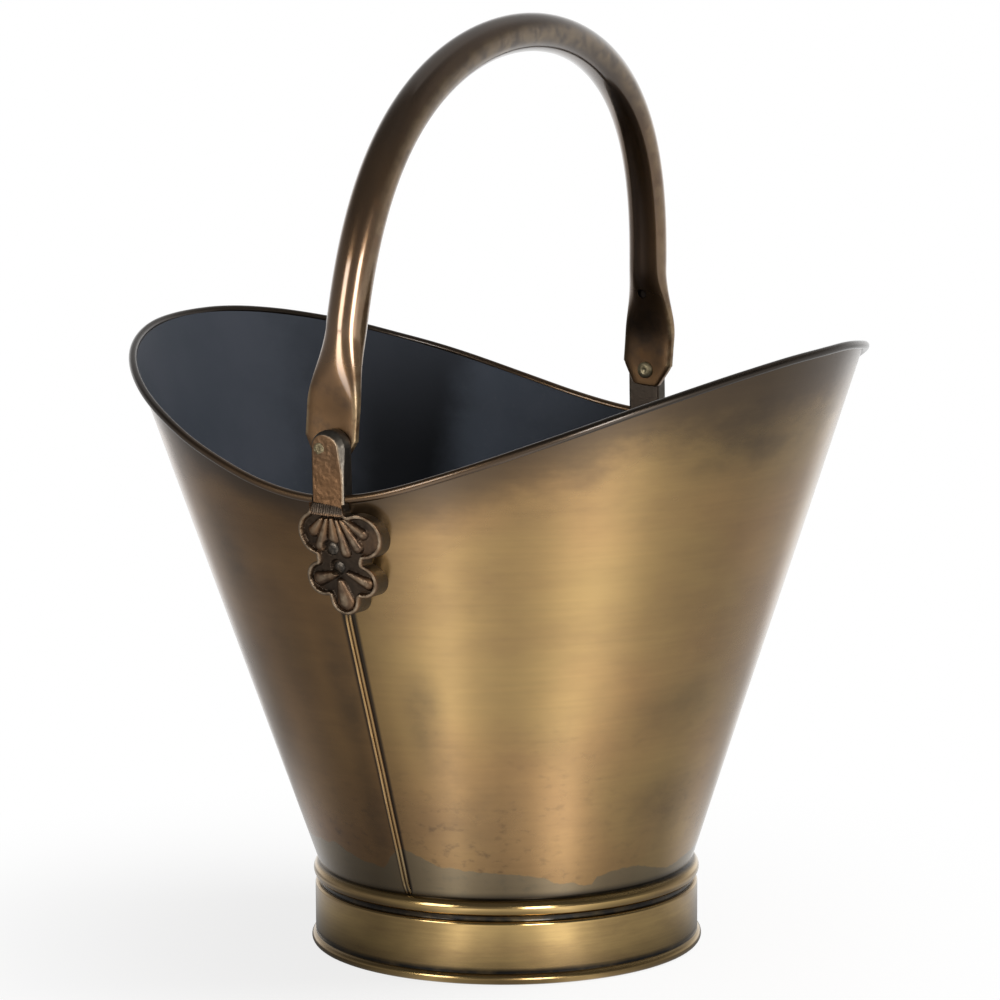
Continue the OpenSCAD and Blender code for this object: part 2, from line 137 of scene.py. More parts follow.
def grainUv(mesh, meanR=130.0):
    # u runs round the body and v up it, both in metres, so that the brushing follows the sheet
    p = toBody(vertexPlaces(mesh))
    angle = np.arctan2(p[:, 1], p[:, 0])
    loops = np.zeros(len(mesh.loops), np.int32)
    mesh.loops.foreach_get("vertex_index", loops)
    starts = np.zeros(len(mesh.polygons), np.int32)
    counts = np.zeros(len(mesh.polygons), np.int32)
    mesh.polygons.foreach_get("loop_start", starts)
    mesh.polygons.foreach_get("loop_total", counts)
    a = angle[loops]
    first = np.repeat(a[starts], counts)
    a = a + 2 * np.pi * np.round((first - a) / (2 * np.pi))
    uv = np.stack([a * meanR * mm, p[loops, 2] * mm], 1)
    layer = mesh.uv_layers.get("grain") or mesh.uv_layers.new(name="grain")
    layer.data.foreach_set("uv", uv.astype(np.float32).ravel())


def joinMeshes(name, parts):
    # one mesh from several objects that share the same material list
    bm = bmesh.new()
    for part in parts:
        bm.from_mesh(part.data)
    mesh = bpy.data.meshes.new(name)
    bm.to_mesh(mesh)
    bm.free()
    for material in parts[0].data.materials:
        mesh.materials.append(material)
    for part in parts:
        old = part.data
        bpy.data.objects.remove(part)
        bpy.data.meshes.remove(old)
    mesh.shade_smooth()
    return linked(name, mesh)


def gridFaces(columns, rows, closeColumns=False, closeRows=False):
    faces = []
    for i in range(columns if closeColumns else columns - 1):
        for j in range(rows if closeRows else rows - 1):
            k, m = (i + 1) % columns, (j + 1) % rows
            faces.append((i * rows + j, k * rows + j, k * rows + m, i * rows + m))
    return faces


class Output:
    # a node's output that takes part in sums
    def __init__(self, board, socket):
        self.board, self.socket = board, socket

    def __add__(self, other):
        return self.board.math("ADD", self, other)

    def __sub__(self, other):
        return self.board.math("SUBTRACT", self, other)

    def __rsub__(self, other):
        return self.board.math("SUBTRACT", other, self)

    def __mul__(self, other):
        return self.board.math("MULTIPLY", self, other)

    def __truediv__(self, other):
        return self.board.math("DIVIDE", self, other)

    def __abs__(self):
        return self.board.math("ABSOLUTE", self)

    def between(self, low, high, toLow=0.0, toHigh=1.0, kind="SMOOTHSTEP"):
        # goes from toLow to toHigh while the value goes from low to high
        return self.board.put("ShaderNodeMapRange", {
            "Value": self, "From Min": low, "From Max": high, "To Min": toLow, "To Max": toHigh},
            interpolation_type=kind)


class Board:
    # puts nodes on one tree and joins them up
    def __init__(self, tree, material=None):
        self.tree, self.material = tree, material

    def feed(self, socket, value):
        if isinstance(value, Output):
            self.tree.links.new(value.socket, socket)
        else:
            socket.default_value = value

    def put(self, kind, inputs=None, out=0, **settings):
        made = self.tree.nodes.new(kind)
        for key, value in settings.items():
            setattr(made, key, value)
        for key, value in (inputs or {}).items():
            self.feed(made.inputs[key], value)
        return Output(self, made.outputs[out])

    def math(self, kind, *values):
        return self.put("ShaderNodeMath", dict(enumerate(values)), operation=kind)

    def vector(self, kind, a, b):
        return self.put("ShaderNodeVectorMath", {0: a, 1: b}, operation=kind)

    def length(self, a):
        return self.put("ShaderNodeVectorMath", {0: a}, "Value", operation="LENGTH")

    def split(self, a):
        parts = self.put("ShaderNodeSeparateXYZ", {0: a}).socket.node.outputs
        return [Output(self, part) for part in parts]

    def noise(self, place, scale, detail, roughness=0.5):
        return self.put("ShaderNodeTexNoise", {"Vector": place, "Scale": scale, "Detail": detail,
                                               "Roughness": roughness})

    def bump(self, height, strength, distance):
        return self.put("ShaderNodeBump", {"Strength": strength, "Distance": distance,
                                           "Height": height})

    def place(self):
        return self.put("ShaderNodeTexCoord", None, "Object")

    def grain(self):
        return self.put("ShaderNodeUVMap", uv_map="grain")

    def attribute(self, name):
        return self.put("ShaderNodeAttribute", None, "Fac", attribute_name=name)

    def ray(self, kind):
        return self.put("ShaderNodeLightPath", None, "Is " + kind + " Ray")

    def mix(self, share, a, b, blend="MIX"):
        a, b = (value if isinstance(value, Output) else (*value, 1.0) for value in (a, b))
        return self.put("ShaderNodeMix", {0: share, 6: a, 7: b}, 2, data_type="RGBA",
                        blend_type=blend)

    def shaded(self, colour, light):
        grey = self.put("ShaderNodeCombineColor", {0: light, 1: light, 2: light})
        return self.mix(1.0, colour, grey, "MULTIPLY")

    def ramp(self, share, stopsWanted):
        made = self.put("ShaderNodeValToRGB", {0: share})
        stops = made.socket.node.color_ramp.elements
        while len(stops) > 1:
            stops.remove(stops[0])
        for k, (place, strength) in enumerate(stopsWanted):
            stop = stops[0] if k == 0 else stops.new(place)
            stop.position = place
            stop.color = (strength, strength, strength, 1)
        return made

    def patches(self, place, scale, detail, low, high, stretch=(1.0, 1.0, 1.0)):
        return self.put("ShaderNodeGroup", {
            "Vector": place, "Stretch": stretch, "Scale": scale, "Detail": detail, "Low": low,
            "High": high}, node_tree=patches)

    def brushed(self, place, length, fineness, depth):
        lines = self.put("ShaderNodeGroup", {"Vector": place, "Length": length,
                                             "Fineness": fineness, "Depth": depth},
                         node_tree=brushing)
        return lines, Output(self, lines.socket.node.outputs["Normal"])

    def dress(self, **sockets):
        shader = self.tree.nodes["Principled BSDF"]
        for key, value in sockets.items():
            self.feed(shader.inputs[key.replace("_", " ")], value)
        return self.material


def newGroup(family, name, inputs, outputs):
    # each input's name with its value, or with its kind where it has no value
    tree = bpy.data.node_groups.new(name, family + "NodeTree")
    kinds = {int: "Int", float: "Float", tuple: "Vector"}
    for label, value in inputs.items():
        kind = value if isinstance(value, str) else kinds[type(value)]
        socket = tree.interface.new_socket(label, in_out="INPUT", socket_type="NodeSocket" + kind)
        if not isinstance(value, str):
            socket.default_value = value
    for label, kind in outputs.items():
        tree.interface.new_socket(label, in_out="OUTPUT", socket_type="NodeSocket" + kind)
    board = Board(tree)
    given = {s.name: Output(board, s) for s in tree.nodes.new("NodeGroupInput").outputs if s.name}
    return board, given, tree.nodes.new("NodeGroupOutput").inputs


def shapeGroup(name, inputs, build):
    # a tree that makes a shape: build gives its geometry
    board, given, out = newGroup("Geometry", name, {"Geometry": "Geometry", **inputs,
                                                    "Finish": "Material"},
                                 {"Geometry": "Geometry"})
    real = board.put("GeometryNodeRealizeInstances", {"Geometry": build(board, given)})
    board.feed(out[0], board.put("GeometryNodeSetMaterial", {"Geometry": real,
                                                             "Material": given["Finish"]}))
    return board.tree


def latheRing(board, given):
    # turns a closed profile of points (r, 0, z) round the Z axis
    count, segments = given["Profile Points"], given["Segments"]
    grid = board.put("GeometryNodeMeshGrid", {"Size X": 1.0, "Size Y": 1.0,
                                              "Vertices X": segments + 1.0, "Vertices Y": count})
    index = board.put("GeometryNodeInputIndex")
    angle = board.math("FLOOR", index / count) / segments * (2 * math.pi)
    row = board.math("MODULO", index, count)

    def sampled(value, kind):
        return board.put("GeometryNodeSampleIndex", {"Geometry": given["Geometry"], "Index": row,
                                                     "Value": value}, data_type=kind)

    point = sampled(board.put("GeometryNodeInputPosition"), "FLOAT_VECTOR")
    turned = board.put("ShaderNodeVectorRotate", {"Vector": point, "Angle": angle},
                       rotation_type="Z_AXIS")
    ring = board.put("GeometryNodeSetPosition", {"Geometry": grid, "Position": turned})
    recessShadeAndGrime = sampled(board.put("GeometryNodeInputNamedAttribute", {"Name": "recessShadeAndGrime"},
                              data_type="FLOAT"), "FLOAT")
    ring = board.put("GeometryNodeStoreNamedAttribute", {"Geometry": ring, "Name": "recessShadeAndGrime",
                                                         "Value": recessShadeAndGrime},
                     data_type="FLOAT", domain="POINT")
    return board.put("GeometryNodeMergeByDistance", {"Geometry": ring, "Distance": 2e-6})


def beadOnPath(board, given):
    # a round bead along a path, with closed ends
    path = board.put("GeometryNodeMeshToCurve", {"Mesh": given["Geometry"]})
    ring = board.put("GeometryNodeCurvePrimitiveCircle", {"Resolution": given["Sides"],
                                                          "Radius": given["Radius"]})
    return board.put("GeometryNodeCurveToMesh", {"Curve": path, "Profile Curve": ring,
                                                 "Fill Caps": True})


def rivetHeads(board, given):
    # a domed head with a dimple at every point, square to the point's axis
    ball = board.put("GeometryNodeMeshUVSphere", {"Segments": 40, "Rings": 24, "Radius": 1.0})
    place = board.put("GeometryNodeInputPosition")
    flat = board.vector("MULTIPLY", place, (1.0, 1.0, 0.0))
    dimple = board.length(flat).between(0.1, 0.42, 1.0, 0.0) * given["Dimple"]
    dome = board.math("MAXIMUM", board.split(place)[2], -0.12) * given["Height"]
    bumps = board.noise(place, 3.1, 2.0) * given["Hammering"]
    wide = board.put("ShaderNodeVectorMath", {0: flat, "Scale": given["Radius"]}, operation="SCALE")
    x, y, _ = board.split(wide)
    spot = board.put("ShaderNodeCombineXYZ", {"X": x, "Y": y, "Z": dome - dimple - bumps})
    head = board.put("GeometryNodeSetPosition", {"Geometry": ball, "Position": spot})
    axis = board.put("GeometryNodeInputNamedAttribute", {"Name": "axis"}, data_type="FLOAT_VECTOR")
    turn = board.put("FunctionNodeAlignRotationToVector", {"Vector": axis}, axis="Z")
    return board.put("GeometryNodeInstanceOnPoints", {"Points": given["Geometry"],
                                                      "Instance": head, "Rotation": turn})


def runTree(name, tree, source, values):
    modifier = source.modifiers.new(tree.name, "NODES")
    modifier.node_group = tree
    sockets = {s.name: s.identifier for s in tree.interface.items_tree
               if s.item_type == "SOCKET" and s.in_out == "INPUT"}
    for label, value in values.items():
        modifier[sockets[label]] = value
    evaluated = source.evaluated_get(bpy.context.evaluated_depsgraph_get())
    mesh = bpy.data.meshes.new_from_object(evaluated)
    source.modifiers.remove(modifier)
    oldMesh = source.data
    bpy.data.objects.remove(source)
    bpy.data.meshes.remove(oldMesh)
    mesh.name = name
    mesh.materials.clear()
    mesh.materials.append(values["Finish"])
    return linked(name, mesh)


def sourceObject(points, edges=(), attributes=None):
    mesh = bpy.data.meshes.new("source")
    mesh.from_pydata([tuple(p) for p in points], list(edges), [])
    for label, values in (attributes or {}).items():
        if np.ndim(values) == 2:
            layer = mesh.attributes.new(label, "FLOAT_VECTOR", "POINT")
            layer.data.foreach_set("vector", np.asarray(values, np.float32).ravel())
        else:
            floatAttribute(mesh, label, values)
    return linked("source", mesh)


latheTree = shapeGroup("latheRing", {"Profile Points": 8, "Segments": 192}, latheRing)
beadTree = shapeGroup("beadOnPath", {"Radius": 0.002, "Sides": 20}, beadOnPath)
rivetTree = shapeGroup("rivetHeads", {"Radius": 0.003, "Height": 0.0015, "Dimple": 0.0003,
                                      "Hammering": 0.0001}, rivetHeads)
print("node trees ready")


def makePatches():
    # cloudy patches with a soft edge
    board, given, out = newGroup("Shader", "patches", {
        "Vector": (0.0, 0.0, 0.0), "Stretch": (1.0, 1.0, 1.0), "Scale": 5.0, "Detail": 4.0,
        "Low": 0.4, "High": 0.6}, {"Mask": "Float"})
    place = board.vector("MULTIPLY", given["Vector"], given["Stretch"])
    cloud = board.noise(place, given["Scale"], given["Detail"], 0.6)
    board.feed(out[0], cloud.between(given["Low"], given["High"]))
    return board.tree


def makeBrushing():
    # fine lines along u, as a colour mask and as a normal
    board, given, out = newGroup("Shader", "brushing", {
        "Vector": (0.0, 0.0, 0.0), "Length": 9.0, "Fineness": 420.0, "Depth": 0.00001},
        {"Lines": "Float", "Normal": "Vector"})
    size = board.put("ShaderNodeCombineXYZ", {"X": given["Length"], "Y": given["Fineness"],
                                              "Z": 1.0})
    lines = board.noise(board.vector("MULTIPLY", given["Vector"], size), 1.0, 3.0, 0.62)
    board.feed(out[0], lines)
    board.feed(out[1], board.bump(lines, 0.6, given["Depth"]))
    return board.tree


patches = makePatches()
brushing = makeBrushing()


def newFinish(name, **constants):
    material = bpy.data.materials.new(name)
    material.use_nodes = True
    board = Board(material.node_tree, material)
    board.dress(**constants)
    return board


# patches in every finish: scale, detail, low, high and stretch
sheetBrass = {
    "light": (0.500, 0.325, 0.120), "copper": (0.520, 0.285, 0.115), "brown": (0.300, 0.168, 0.074),
    "dark": (0.066, 0.044, 0.028), "mark": (0.112, 0.071, 0.038), "tide": (0.245, 0.205, 0.130),
    "rim": (0.050, 0.038, 0.028), "creaseShadeAndGrime": (0.010, 0.008, 0.006), "roughness": 0.23,
    "clouds": (6.0, 5.0, 0.36, 0.72, (1.0, 1.7, 1.0)),
    "bands": (13.0, 8.0, 0.42, 0.74, (1.0, 2.4, 1.0)),
    "speckle": (120.0, 5.0, 0.52, 0.70, (1.0, 1.8, 1.0)), "warmth": (8.0, 2.0, 0.40, 0.62),
    "ragged": (9.0, 6.0, 0.30, 0.75, (1.0, 1.4, 1.0)),
    "blots": (46.0, 6.0, 0.32, 0.72, (1.0, 1.5, 1.0)), "brushing": (16.0, 420.0, 0.000003),
    # places round the wall and up it, in metres
    "seam": 0.2042, "around": 0.8168, "seamTop": 0.1960, "beadTop": (0.0418, 0.0462),
    # the tide line: place round the wall, height
    "tideLine": [(-0.4084, 0.056), (-0.330, 0.061), (-0.2626, 0.0646), (-0.2486, 0.0604),
                 (-0.2203, 0.0560), (-0.2042, 0.0690), (-0.1904, 0.0646), (-0.1802, 0.0599),
                 (-0.1632, 0.0588), (-0.1465, 0.0572), (-0.1292, 0.0562), (-0.1128, 0.0543),
                 (-0.1039, 0.0512), (-0.0980, 0.0492), (-0.0877, 0.0487), (-0.0756, 0.0477),
                 (-0.0738, 0.0512), (-0.0599, 0.0540), (-0.0416, 0.0540), (-0.0221, 0.0502),
                 (-0.0078, 0.0482), (0.0120, 0.0505), (0.0443, 0.0520), (0.1000, 0.0580),
                 (0.1500, 0.0500), (0.2042, 0.0560), (0.3000, 0.0520), (0.4084, 0.0560)],
}
# stains on each sheet: u, v, width, height, strength
frontSheetLook = {
    "base": sheetBrass["light"], "brown": sheetBrass["brown"], "shade": 0.62,
    "spots": [(-0.175, 0.142, 0.016, 0.032, 0.55), (-0.168, 0.118, 0.022, 0.026, 0.45),
              (-0.160, 0.088, 0.040, 0.030, 0.40), (-0.030, 0.085, 0.040, 0.030, 0.50),
              (-0.040, 0.140, 0.045, 0.020, 0.35), (-0.060, 0.292, 0.075, 0.028, 0.75),
              (-0.050, 0.270, 0.050, 0.018, 0.50), (-0.150, 0.262, 0.035, 0.010, 0.45),
              (-0.022, 0.288, 0.050, 0.060, 0.62), (-0.105, 0.288, 0.050, 0.014, 0.60)],
}
# the rear sheet: a darker, redder copy of the sheet brass, partly its own redder tone and partly
# painted shade
rearSheetShadedLook = {
    "base": (0.38, 0.215, 0.078), "brown": (0.215, 0.110, 0.042), "shade": 0.85,
    "spots": [(-0.216, 0.150, 0.014, 0.060, 0.70), (-0.216, 0.080, 0.014, 0.045, 0.60),
              (-0.245, 0.170, 0.018, 0.100, 0.30), (-0.245, 0.262, 0.040, 0.020, 0.60),
              (-0.272, 0.215, 0.026, 0.040, 0.60)],
}


def makeSheetBrass(name, sheet):
    look = sheetBrass
    board = newFinish(name, Metallic=1.0, Coat_Weight=0.7, Coat_Roughness=0.12)
    uv = board.grain()
    turn, height, _ = board.split(uv)
    clouds, bands = board.patches(uv, *look["clouds"]), board.patches(uv, *look["bands"])
    colour = board.mix(board.patches(uv, *look["warmth"]) * 0.55, sheet["base"], look["copper"])
    colour = board.mix(clouds * sheet["shade"], colour, sheet["brown"])
    colour = board.mix(bands * 0.26, colour, sheet["brown"])
    low = height.between(0.06, 0.17, 1.0, 0.0)
    speckle = board.patches(uv, *look["speckle"]) * clouds * (low * 0.42 + 0.10)
    colour = board.mix(speckle, colour, look["dark"])
    # darker under the rim, further down toward both lips
    longer = board.math("MAXIMUM", turn.between(-0.19, -0.03, 0.35, 1.0),
                        turn.between(-0.31, -0.23, 0.75, 0.35))
    reach = board.patches(uv, *look["ragged"]) * longer * 0.085 + 0.012
    gap = board.attribute("rimGap")
    under = (gap / reach).between(0.0, 1.0, 1.0, 0.0)
    colour = board.mix(under * 0.84, colour, look["dark"])
    blots = board.patches(uv, *look["blots"]) * 0.50 + 0.48
    for u, v, wide, tall, strength in sheet["spots"]:
        away = board.vector("SUBTRACT", uv, (u, v, 0))
        far = board.length(board.vector("DIVIDE", away, (wide, tall, 1)))
        spot = far.between(0.1, 1.0, 1.0, 0.0) * blots * strength
        colour = board.mix(spot, colour, look["mark"])
    # tide line of old lacquer above the foot
    wander = board.noise(uv, 90.0, 4.0, 0.55) * 0.005 - 0.0025
    line = board.ramp(turn * (1 / look["around"]) + 0.5,
                      [(u / look["around"] + 0.5, v) for u, v in look["tideLine"]])
    tide = (wander + line - height).between(0.0, 0.0009)
    colour = board.mix(tide * 0.72, colour, look["tide"])
    # painted shade in the corner above the foot's bead and beside the folded seams, with some grime
    # there
    creaseShadeAndGrime = height.between(*look["beadTop"], 1.0, 0.0)
    onSeam = board.math("LESS_THAN", height, look["seamTop"])
    for seam in (-look["seam"], look["seam"]):
        line = abs(turn - seam).between(0.0026, 0.0046, 1.0, 0.0)
        creaseShadeAndGrime = board.math("MAXIMUM", creaseShadeAndGrime, line * onSeam)
    ridge = board.attribute("ridge")
    colour = board.mix(creaseShadeAndGrime * (1.0 - ridge) * 0.9, colour, look["creaseShadeAndGrime"])
    colour = board.mix(ridge * 0.5, colour, look["light"])
    # the rolled edge: dark, rubbed to brass near the brackets
    rolled = board.math("LESS_THAN", gap, -0.0005)
    nearSeam = abs(abs(turn) - look["seam"]).between(0.015, 0.110, 1.0, 0.0)
    edging = board.mix(nearSeam * (bands * 0.5 + 0.5), look["rim"], look["brown"])
    colour = board.mix(rolled * 0.86, colour, edging)
    lines, normal = board.brushed(uv, *look["brushing"])
    colour = board.shaded(colour, lines.between(0.25, 0.75, 0.955, 1.04, "LINEAR"))
    rough = tide * -0.04 + (under * 0.08 + (clouds * 0.08 + look["roughness"]))
    return board.dress(Base_Color=colour, Roughness=rough, Normal=normal)


footBrassLook = {
    "light": (0.56, 0.375, 0.140), "dark": (0.270, 0.160, 0.066), "recessShadeAndGrime": (0.009, 0.007, 0.005),
    "clouds": (12.0, 6.0, 0.36, 0.72, (1.0, 4.0, 1.0)),
    "broken": (60.0, 6.0, 0.25, 0.6, (1.0, 1.6, 1.0)), "brushing": (14.0, 700.0, 0.00001),
}


def makeFootBrass(name):
    look = footBrassLook
    board = newFinish(name, Metallic=1.0, Coat_Weight=0.6, Coat_Roughness=0.12)
    uv = board.grain()
    clouds = board.patches(uv, *look["clouds"])
    # darker where the grime mark is set: grime, and painted shade in the creases, the groove and
    # inside the band
    recessShadeAndSoil = board.attribute("recessShadeAndGrime") * (board.patches(uv, *look["broken"]) * 0.22 + 0.78)
    colour = board.mix(clouds * 0.7, look["light"], look["dark"])
    colour = board.mix(recessShadeAndSoil, colour, look["recessShadeAndGrime"])
    lines, normal = board.brushed(uv, *look["brushing"])
    colour = board.shaded(colour, lines.between(0.25, 0.75, 0.92, 1.06, "LINEAR"))
    return board.dress(Base_Color=colour, Roughness=recessShadeAndSoil * 0.25 + (clouds * 0.09 + 0.14),
                       Normal=normal)


paintLook = {
    "dark": (0.040, 0.047, 0.059), "light": (0.052, 0.058, 0.072), "speck": (0.06, 0.066, 0.075),
    "clouds": (16.0, 5.0, 0.3, 0.7), "specks": (260.0, 3.0, 0.6, 0.72), "gloss": 0.14,
    # the wall above the floor, in metres, and the painted shadow and painted light, in radians round
    # the body
    "wall": (0.09, 0.21), "lowPaintedShade": (0.06, 0.235), "paintedLightTurns": (2.12, 2.32), "shadowStart": (2.18, 2.38),
    "shadowEnd": (2.58, 2.95), "shadowHeights": (0.225, 0.315),
}


def makePaint(name):
    # satin dark paint inside the bucket, faintly mottled
    look = paintLook
    board = newFinish(name, Specular_IOR_Level=look["gloss"])
    place = board.place()
    x, y, z = board.split(place)
    clouds = board.patches(place, *look["clouds"])
    colour = board.mix(clouds, look["dark"], look["light"])
    colour = board.mix(board.patches(place, *look["specks"]) * 0.25, colour, look["speck"])
    # painted shade: darker towards the floor and in one long painted shadow, with painted light in
    # front of it
    turn = clouds * 0.10 + board.math("ARCTAN2", y, x)
    onWall = z.between(*look["wall"])
    paintedLight = abs(turn).between(*look["paintedLightTurns"], 0.75, 0.0) * onWall + 1.0
    # stain here is a painted shadow along the wall
    stain = turn.between(*look["shadowStart"]) * turn.between(*look["shadowEnd"], 1.0, 0.0) \
        * z.between(*look["shadowHeights"], 0.86, 0.20) * onWall
    # painted shade, darker towards the floor
    low = z.between(*look["lowPaintedShade"], 0.68, 0.0)
    colour = board.shaded(colour, paintedLight * ((1.0 - stain) * (1.0 - low)))
    grain = board.noise(place, 900.0, 2.0)
    return board.dress(Base_Color=colour, Roughness=clouds * 0.08 + 0.46,
                       Normal=board.bump(grain, 0.25, 0.00005))


bronzeLook = {
    "light": (0.270, 0.146, 0.060), "dark": (0.180, 0.100, 0.047), "stain": (0.34, 0.16, 0.055),
    "crown": (0.066, 0.050, 0.038), "worn": (0.56, 0.40, 0.22), "dusky": (0.070, 0.048, 0.034),
    "sootAndShade": (0.010, 0.008, 0.007), "crownHeight": (0.36, 0.46),
    "clouds": (24.0, 3.0, 0.30, 0.74, (1.0, 1.0, 0.8)),
    "stains": (60.0, 5.0, 0.60, 0.74, (1.0, 1.0, 0.6)), "wear": (120.0, 5.0, 0.3, 0.62),
    "dusk": (55.0, 4.0, 0.44, 0.66),
}


def makeHandleBronze(name):
    look = bronzeLook
    board = newFinish(name, Metallic=0.82, Coat_Roughness=0.11, Coat_IOR=1.7)
    place = board.place()
    clouds = board.patches(place, *look["clouds"])
    colour = board.mix(clouds, look["light"], look["dark"])
    colour = board.mix(board.patches(place, *look["stains"]) * 0.4, colour, look["stain"])
    # darker round the crown, more worn down the legs
    crown = board.split(place)[2].between(*look["crownHeight"])
    colour = board.mix(crown * 0.78, colour, look["crown"])
    worn = board.attribute("worn") * board.patches(place, *look["wear"])
    colour = board.mix(worn, colour, look["worn"])
    sootAndShade, flat = board.attribute("sootAndShade"), board.attribute("flat")
    colour = board.mix(board.patches(place, *look["dusk"]) * flat * 0.6, colour, look["dusky"])
    # near black where the soot mark is set: soot, and painted shade inside the vent hole and low on
    # the far leg
    colour = board.mix(sootAndShade * 0.95, colour, look["sootAndShade"])
    # the hammered flats are duller than the tube
    coat = (flat * -0.75 + 1.0) * (1.0 - sootAndShade)
    rough = clouds * 0.08 + (flat * 0.20 + 0.18)
    grain = board.noise(place, 300.0, 3.0)
    return board.dress(Base_Color=colour, Coat_Weight=coat, Roughness=rough,
                       Normal=board.bump(grain, 0.2, 0.00006))


castLook = {
    "light": (0.215, 0.125, 0.066), "dark": (0.115, 0.075, 0.050), "tab": (0.230, 0.125, 0.062),
    "flank": (0.110, 0.103, 0.088), "hollow": (0.052, 0.041, 0.032), "green": (0.10, 0.13, 0.08),
    "rubbed": (0.62, 0.48, 0.33), "clouds": (70.0, 6.0, 0.32, 0.68),
    "greens": (150.0, 5.0, 0.62, 0.78), "grit": (420.0, 5.0, 0.3, 0.7),
    "tabFoot": (0.246, 0.250), "tabTop": (0.258, 0.284),
}


def makeCasting(name):
    # rough cast brass: dark hollows, copper-brown faces, rubbed edges and grey-black sides
    look = castLook
    board = newFinish(name, Metallic=1.0)
    place = board.place()
    height = board.split(place)[2]
    onTab = height.between(*look["tabFoot"]) * height.between(*look["tabTop"], 1.0, 0.0)
    colour = board.mix(board.patches(place, *look["clouds"]), look["light"], look["dark"])
    colour = board.mix(onTab, colour, look["tab"])
    colour = board.mix(board.attribute("flank") * 0.90, colour, look["flank"])
    hollow = board.attribute("hollow")
    colour = board.mix(hollow * 0.84, colour, look["hollow"])
    colour = board.mix(board.patches(place, *look["greens"]) * 0.22 * hollow, colour, look["green"])
    grit = board.patches(place, *look["grit"])
    rubbed = board.attribute("worn") * (grit * 0.55 + 0.45)
    colour = board.mix(rubbed, colour, look["rubbed"])
    coarse = board.noise(place, 520.0, 4.0)
    return board.dress(Base_Color=colour, Roughness=grit * 0.16 + (rubbed * -0.10 + 0.36),
                       Normal=board.bump(coarse, 0.55, 0.00022))


rivetLook = {"clouds": (380.0, 4.0, 0.35, 0.65), "tails": (0.1655, 0.1685)}


def makeRivetMetal(name, light, dark, roughness):
    board = newFinish(name, Metallic=1.0)
    place = board.place()
    clouds = board.patches(place, *rivetLook["clouds"])
    # the hammered tails outside the tabs are duller
    dull = abs(board.split(place)[1]).between(*rivetLook["tails"]) * 0.75
    colour = board.mix(dull, board.mix(clouds, light, dark), dark)
    dents = board.noise(place, 900.0, 3.0)
    return board.dress(Base_Color=colour, Roughness=clouds * 0.12 + roughness,
                       Normal=board.bump(dents, 0.5, 0.00015))


frontBrass = makeSheetBrass("agedBrassFront", frontSheetLook)
rearBrass = makeSheetBrass("agedShadedBrassRear", rearSheetShadedLook)
footBrass = makeFootBrass("agedBrassFoot")
innerPaint = makePaint("darkPaintInside")
handleBronze = makeHandleBronze("handleBronze")
castBrass = makeCasting("castBrassBrown")
darkRivet = makeRivetMetal("rivetDark", (0.150, 0.125, 0.100), (0.060, 0.052, 0.044), 0.40)
paleRivet = makeRivetMetal("rivetPaleBrass", (0.52, 0.44, 0.27), (0.27, 0.22, 0.13), 0.44)
wireSteel = makeRivetMetal("wireSteel", (0.30, 0.29, 0.28), (0.12, 0.11, 0.10), 0.35)
print("finishes ready")


def smoothStep(value, low, high):
    t = np.clip((value - low) / (high - low), 0.0, 1.0)
    return t * t * (3 - 2 * t)


def rimTable():
    angles = np.linspace(-math.pi, math.pi, 1441)
    return angles, np.array([rimHeight(a) for a in angles])


rimAngles, rimHeights = rimTable()


def markRimGap(mesh, fixed=None):
    # how far each point lies below the rim, in metres
    p = toBody(vertexPlaces(mesh))
    gap = np.interp(np.arctan2(p[:, 1], p[:, 0]), rimAngles, rimHeights) - p[:, 2]
    floatAttribute(mesh, "rimGap", np.maximum(gap, 0.0) * mm if fixed is None
                   else np.full(len(p), fixed))
    floatAttribute(mesh, "ridge", np.zeros(len(p)))


def dentAt(angle, z):
    turns = body["dentTurns"]
    spot = Vector((turns * math.cos(angle), turns * math.sin(angle), z / body["dentHeight"]))
    calm = min(1.0, abs(math.cos(angle)) * 4.0)
    return body["dent"] * calm * noise.noise(spot)


